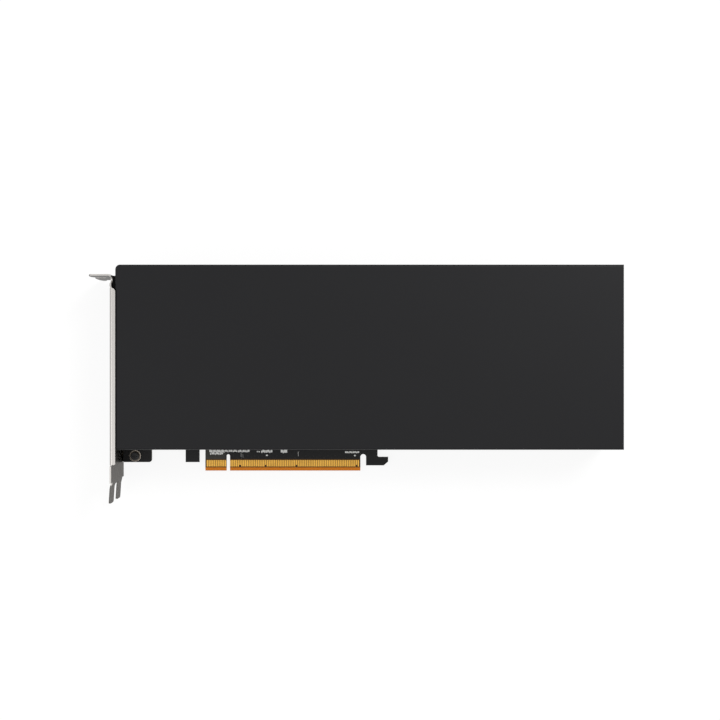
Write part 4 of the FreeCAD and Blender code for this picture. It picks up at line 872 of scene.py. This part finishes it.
@dataclass
class Board:
    """The circuit board with its contacts, the print beside them and its covered through-holes."""

    bevel_height: float = 1.8 * MM
    bare_strip: float = 0.55 * MM
    track_length: float = 5.0 * MM
    # How far along the contacts the mask carries its painted sheen.
    painted_sheen_length: float = 9.5 * MM
    ink: float = 0.02 * MM
    seat: float = 0.004 * MM
    via_radius: float = 0.28 * MM
    via_start: float = 0.5 * MM
    via_pitch: float = 2.0 * MM
    via_rise: float = 1.5 * MM
    via_zigzag: float = 0.9 * MM
    key_middle: float = 11.85 * MM
    key_clear: float = 1.6 * MM
    rows: tuple[PrintedRow, ...] = (
        PrintedRow(1.9 * MM, 4.9 * MM, 0.84 * MM, 10, 0.9 * MM, 1.6 * MM, seed=1),
        PrintedRow(2.1 * MM, 3.6 * MM, 0.9 * MM, 8, 0.94 * MM, 1.3 * MM, seed=4),
        PrintedRow(10.6 * MM, 5.0 * MM, 0.98 * MM, 7, 1.0 * MM, 1.1 * MM, seed=2),
        PrintedRow(17.6 * MM, 4.9 * MM, 0.9 * MM, 7, 0.9 * MM, 1.3 * MM, seed=6),
        PrintedRow(28.0 * MM, 4.7 * MM, 0.9 * MM, 2, 0.9 * MM, 0.8 * MM, seed=3),
        PrintedRow(30.2 * MM, 4.8 * MM, 0.9 * MM, 7, 0.96 * MM, 1.6 * MM, seed=5),
        PrintedRow(41.2 * MM, 4.8 * MM, 0.86 * MM, 4, 0.98 * MM, 2.0 * MM, seed=8),
        PrintedRow(76.4 * MM, 4.3 * MM, 0.86 * MM, 9, 0.92 * MM, 1.1 * MM, seed=7),
        PrintedRow(18.9 * MM, 2.6 * MM, 1.0 * MM, 2, 0.12 * MM, 2.6 * MM, seed=9),
        PrintedRow(50.3 * MM, 3.2 * MM, 1.0 * MM, 1, 0.16 * MM, 2.9 * MM, seed=9),
        PrintedRow(33.1 * MM, 2.5 * MM, 1.0 * MM, 1, 1.1 * MM, 1.0 * MM, Mark.DOT),
        PrintedRow(81.4 * MM, 2.4 * MM, 1.0 * MM, 1, 1.1 * MM, 1.0 * MM, Mark.DOT),
    )

    def print_mesh(self, corner: Vector, face: float) -> Mesh:
        """The printed marks of every row, as one mesh."""
        return joined(row.mesh(corner, face + self.seat, self.ink) for row in self.rows)

    def via_mesh(self, low: Vector, high: Vector, face: float, thick: float) -> Mesh:
        """Covered through-holes in a zigzag above the contacts, one every second contact.

        Args:
            low: low corner of the contacts.
            high: high corner of the contacts.
            face: height of the board's face.
            thick: how far they stand proud, negative under the board.

        Returns:
            The points and faces of all of them.
        """
        along = np.arange(low.x + self.via_start, high.x, self.via_pitch)
        zigzag = np.where(np.arange(len(along)) % 2 == 0, 0.0, self.via_zigzag)
        beside_key = np.abs(along - (low.x + self.key_middle)) > self.key_clear
        centres = np.column_stack([along, high.y + self.via_rise + zigzag])[beside_key]
        halves = np.full_like(centres, self.via_radius)
        return spots(centres, halves, Mark.DOT.value, face, thick)

    def build(self) -> list[str]:
        """Dresses board and contacts and adds print and through-holes.

        Returns:
            The names of the pieces.
        """
        board_low, board_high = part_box("circuit_board")
        low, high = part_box("edge_contacts_front")
        mask = SolderMask(
            "black_solder_mask", (0.006, 0.006, 0.0062), 0.36, specular=0.2, tone_spread=0.12, fine=2400.0,
            relief=0.012 * MM, edge_colour=(0.16, 0.15, 0.13), edge_width=0.12 * MM, edge_amount=0.5,
            bevel_top=board_low.y + self.bevel_height,
            mask_foot=high.y + self.bare_strip,
            track_top=high.y + self.bare_strip + self.track_length,
            track_start=low.x,
            tongue_end=high.x,
            painted_sheen_end=low.x + self.painted_sheen_length,
        )
        names = dress(mask, "circuit_board")
        names += dress(HARD_GOLD, "edge_contacts_front", "edge_contacts_back")
        corner = Vector((low.x, high.y, 0.0))
        marks = make_piece("board_print", self.print_mesh(corner, board_high.z), WHITE_INK)
        proud = 0.5 * self.ink
        front = self.via_mesh(low, high, board_high.z, proud)
        back = self.via_mesh(*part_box("edge_contacts_back"), board_low.z, -proud)
        vias = make_piece("covered_holes", joined([front, back]), mask)
        return [*names, marks.name, vias.name]


@dataclass
class Bracket:
    """The bracket with the screws and washers that hold it to the board."""

    prong_length: float = 9.7 * MM

    def build(self) -> list[str]:
        """Dresses the bracket, its washers and its screws.

        Returns:
            Their names.
        """
        low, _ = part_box("mounting_bracket")
        nickel = PlatedSheet(
            "bright_nickel", (0.51, 0.49, 0.47), 0.26, metallic=1.0, slant=0.2, pattern=Pattern.BRUSHED,
            brushed=Axis.ACROSS, tone_spread=0.05, gloss_spread=0.06, fine=2600.0, relief=0.0007 * MM,
            edge_colour=(0.7, 0.68, 0.66), edge_width=0.12 * MM, edge_amount=0.5,
            prong_top=low.y + self.prong_length,
        )
        return [
            *dress(nickel, "mounting_bracket"),
            *dress(WASHER_SHADE_AND_HIGHLIGHT, "bracket_washers"),
            *dress(BLACK_OXIDE, "bracket_screws"),
        ]


@dataclass
class Cover:
    """The shroud with its screws, and a dark strip under its nose that paints the shade in the gap at the
    bracket.
    """

    sheet: float = 1.2 * MM
    shade_reach: float = 1.65 * MM
    shade_width: float = 5.6 * MM
    shade_thick: float = 0.8 * MM
    shade_clear: float = 0.05 * MM
    shade_short: float = 5.8 * MM
    shade_swell: float = 0.04
    swell_turn: float = 0.9
    stations: int = 60

    def shade_strip_mesh(self) -> Mesh:
        """The painted shade strip: a squarish section drawn along the nose, which swells and shrinks a
        little.

        Its width swings by a sine of the section's number, and both ends close to a pole.

        Returns:
            The points and faces.
        """
        low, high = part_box("shroud")
        middle = Vector((
            low.x - self.shade_reach + self.shade_width / 2, 0.0,
            high.z - self.sheet - self.shade_clear - self.shade_thick / 2,
        ))
        way = np.linspace(low.y + self.sheet, high.y - self.shade_short, self.stations)
        swing = np.sin(np.arange(self.stations) * self.swell_turn)
        swell = 1.0 - self.shade_swell * (1.0 + swing)
        return drawn_bar(middle, way, swell * self.shade_width / 2, self.shade_thick / 2)

    def build(self) -> list[str]:
        """Dresses the shroud and its screws and adds the painted shade strip."""
        names = [*dress(BLACK_COAT, "shroud"), *dress(BLACK_OXIDE, "shroud_screws")]
        return [*names, make_piece("nose_seal", self.shade_strip_mesh(), GAP_SHADE).name]


@dataclass
class Carrier:
    """What carries the board: base frame, backplate, film and the screws through them."""

    def build(self) -> list[str]:
        """Dresses frame, backplate, film and screws.

        Returns:
            Their names.
        """
        return [
            *dress(CASTING, "base_frame"),
            *dress(BACK_COAT, "backplate"),
            *dress(FILM, "insulating_film"),
            *dress(BLACK_OXIDE, "board_screws"),
        ]


@dataclass
class Package:
    """The processor package."""

    def build(self) -> list[str]:
        """Dresses substrate, silicon, stiffener and thermal interface.

        Returns:
            Their names.
        """
        return [
            *dress(SUBSTRATE, "package_substrate"),
            *dress(SILICON, "processor_die", "memory_stacks"),
            *dress(STIFFENER, "package_stiffener"),
            *dress(THERMAL_PAD, "thermal_interface"),
        ]


@dataclass
class HeatSink:
    """The heat sink with the spring, pad and screws that hold it down."""

    def build(self) -> list[str]:
        """Dresses base, fins, spring, pad and screws.

        Returns:
            Their names.
        """
        return [
            *dress(MILLED, "heatsink_base"),
            *dress(FIN_SHEET, "heatsink_fins"),
            *dress(SPRING, "retention_plate"),
            *dress(FOAM, "retention_pad"),
            *dress(ZINC, "retention_screws"),
        ]


@dataclass
class SupplyParts:
    """The parts of the supply round the package, and the support chips."""

    def build(self) -> list[str]:
        """Dresses inductors, pads, power stages, capacitors and chips.

        Returns:
            Their names.
        """
        return [
            *dress(FERRITE, "power_inductors"),
            *dress(THERMAL_PAD, "inductor_pads"),
            *dress(CHIP_RESIN, "power_stages", "support_chips"),
            *dress(CAN, "polymer_capacitors"),
        ]


@dataclass
class PowerInlet:
    """The power connector with its pins."""

    def build(self) -> list[str]:
        """Dresses housing and pins."""
        return [*dress(NYLON, "power_connector"), *dress(TINNED, "power_pins")]


# Studio

@dataclass(frozen=True)
class Lamp:
    """A square soft lamp that points at the card, with its side and its power in watts."""

    name: str
    place: tuple[float, float, float]
    side: float
    power: float

    def build(self) -> str:
        """Hangs the lamp.

        Returns:
            Its name.
        """
        data = bpy.data.lights.new(self.name, "AREA")
        data.size = self.side
        data.energy = self.power
        lamp = new_object(self.name, data)
        lamp.location = self.place
        lamp.rotation_euler = (-Vector(self.place)).to_track_quat("-Z", "Y").to_euler()
        return lamp.name


@dataclass
class Studio:
    """A white floor, soft lamps from above and the camera, which looks straight down."""

    height: float = 0.6
    aside: float = -18.7 * MM
    above: float = 12.5 * MM
    lens: float = 57.72
    shift: float = 0.0556
    floor_side: float = 6.0
    floor_colour: float = 0.9
    floor_glow: float = 0.88
    floor_share: float = 0.14
    sky: float = 0.64
    lamps: tuple[Lamp, ...] = (
        Lamp("key_lamp", (0.66, 0.6, 1.1), 0.5, 10.0),
        Lamp("fill_lamp", (-0.7, -0.3, 1.1), 0.8, 2.0),
    )

    def seen(self, tree: Tree) -> Socket:
        """1 for camera, glossy and transmission rays, which see the background itself.

        Args:
            tree: the tree of the world or the floor.

        Returns:
            The mask.
        """
        rays = tree.node("LightPath").outputs
        gloss = tree.math("MAXIMUM", rays["Is Glossy Ray"], rays["Is Transmission Ray"])
        return tree.math("MAXIMUM", rays["Is Camera Ray"], gloss)

    def floor(self) -> str:
        """A plain white floor under the card, which glows softly for the camera and keeps the shadow.

        Returns:
            Its name.
        """
        half = self.floor_side / 2
        level = CAD_BOX[0][2]
        corners = [(x * half, y * half, level) for x, y in ((-1, -1), (1, -1), (1, 1), (-1, 1))]
        data = bpy.data.meshes.new("floor")
        data.from_pydata(corners, [], [(0, 1, 2, 3)])
        floor = new_object("floor", data)
        material = bpy.data.materials.new("white_floor")
        material.use_nodes = True
        tree = Tree(material.node_tree)
        lit = tree.node("BsdfDiffuse", Color=(self.floor_colour,) * 3)
        faint = tree.node("BsdfDiffuse", Color=(self.floor_share,) * 3)
        glow = tree.node("Emission", Strength=self.floor_glow)
        shown = tree.node("AddShader")
        tree.feed(shown.inputs[0], faint.outputs[0])
        tree.feed(shown.inputs[1], glow.outputs[0])
        mixed = tree.node("MixShader", Fac=self.seen(tree))
        tree.feed(mixed.inputs[1], lit.outputs[0])
        tree.feed(mixed.inputs[2], shown.outputs[0])
        tree.feed(tree.node("OutputMaterial").inputs["Surface"], mixed.outputs[0])
        data.materials.append(material)
        return floor.name

    def world(self) -> None:
        """A white surround that lights softly and shows white."""
        world = bpy.data.worlds.new("white_surround")
        bpy.context.scene.world = world
        world.use_nodes = True
        tree = Tree(world.node_tree)
        strength = tree.math("MULTIPLY_ADD", self.seen(tree), 1.0 - self.sky, self.sky)
        glow = tree.node("Background", Color=(1.0, 1.0, 1.0), Strength=strength)
        tree.feed(tree.node("OutputWorld").inputs["Surface"], glow.outputs[0])

    def camera(self) -> str:
        """The camera above the card, which looks straight down.

        Returns:
            Its name.
        """
        data = bpy.data.cameras.new("camera")
        data.lens = self.lens
        data.shift_x = self.shift
        camera = new_object("camera", data)
        camera.location = (self.aside, self.above, CAD_BOX[1][2] + self.height)
        bpy.context.scene.camera = camera
        return camera.name

    def build(self) -> list[str]:
        """Builds floor, surround, lamps and camera.

        Returns:
            The names of what it made.
        """
        bpy.context.scene.view_settings.view_transform = "Standard"
        self.world()
        return [self.floor(), *(lamp.build() for lamp in self.lamps), self.camera()]


def main() -> None:
    """Builds the studio and each sub-assembly, and reports their pieces."""
    logging.basicConfig(level=logging.INFO, format="%(name)s: %(message)s")
    parts = (
        Studio(), Board(), Bracket(), Cover(), Carrier(), Package(), HeatSink(), SupplyParts(),
        PowerInlet(),
    )
    for part in parts:
        for name in part.build():
            LOG.info("%s: %s", type(part).__name__, name)


if __name__ == "__main__":
    main()
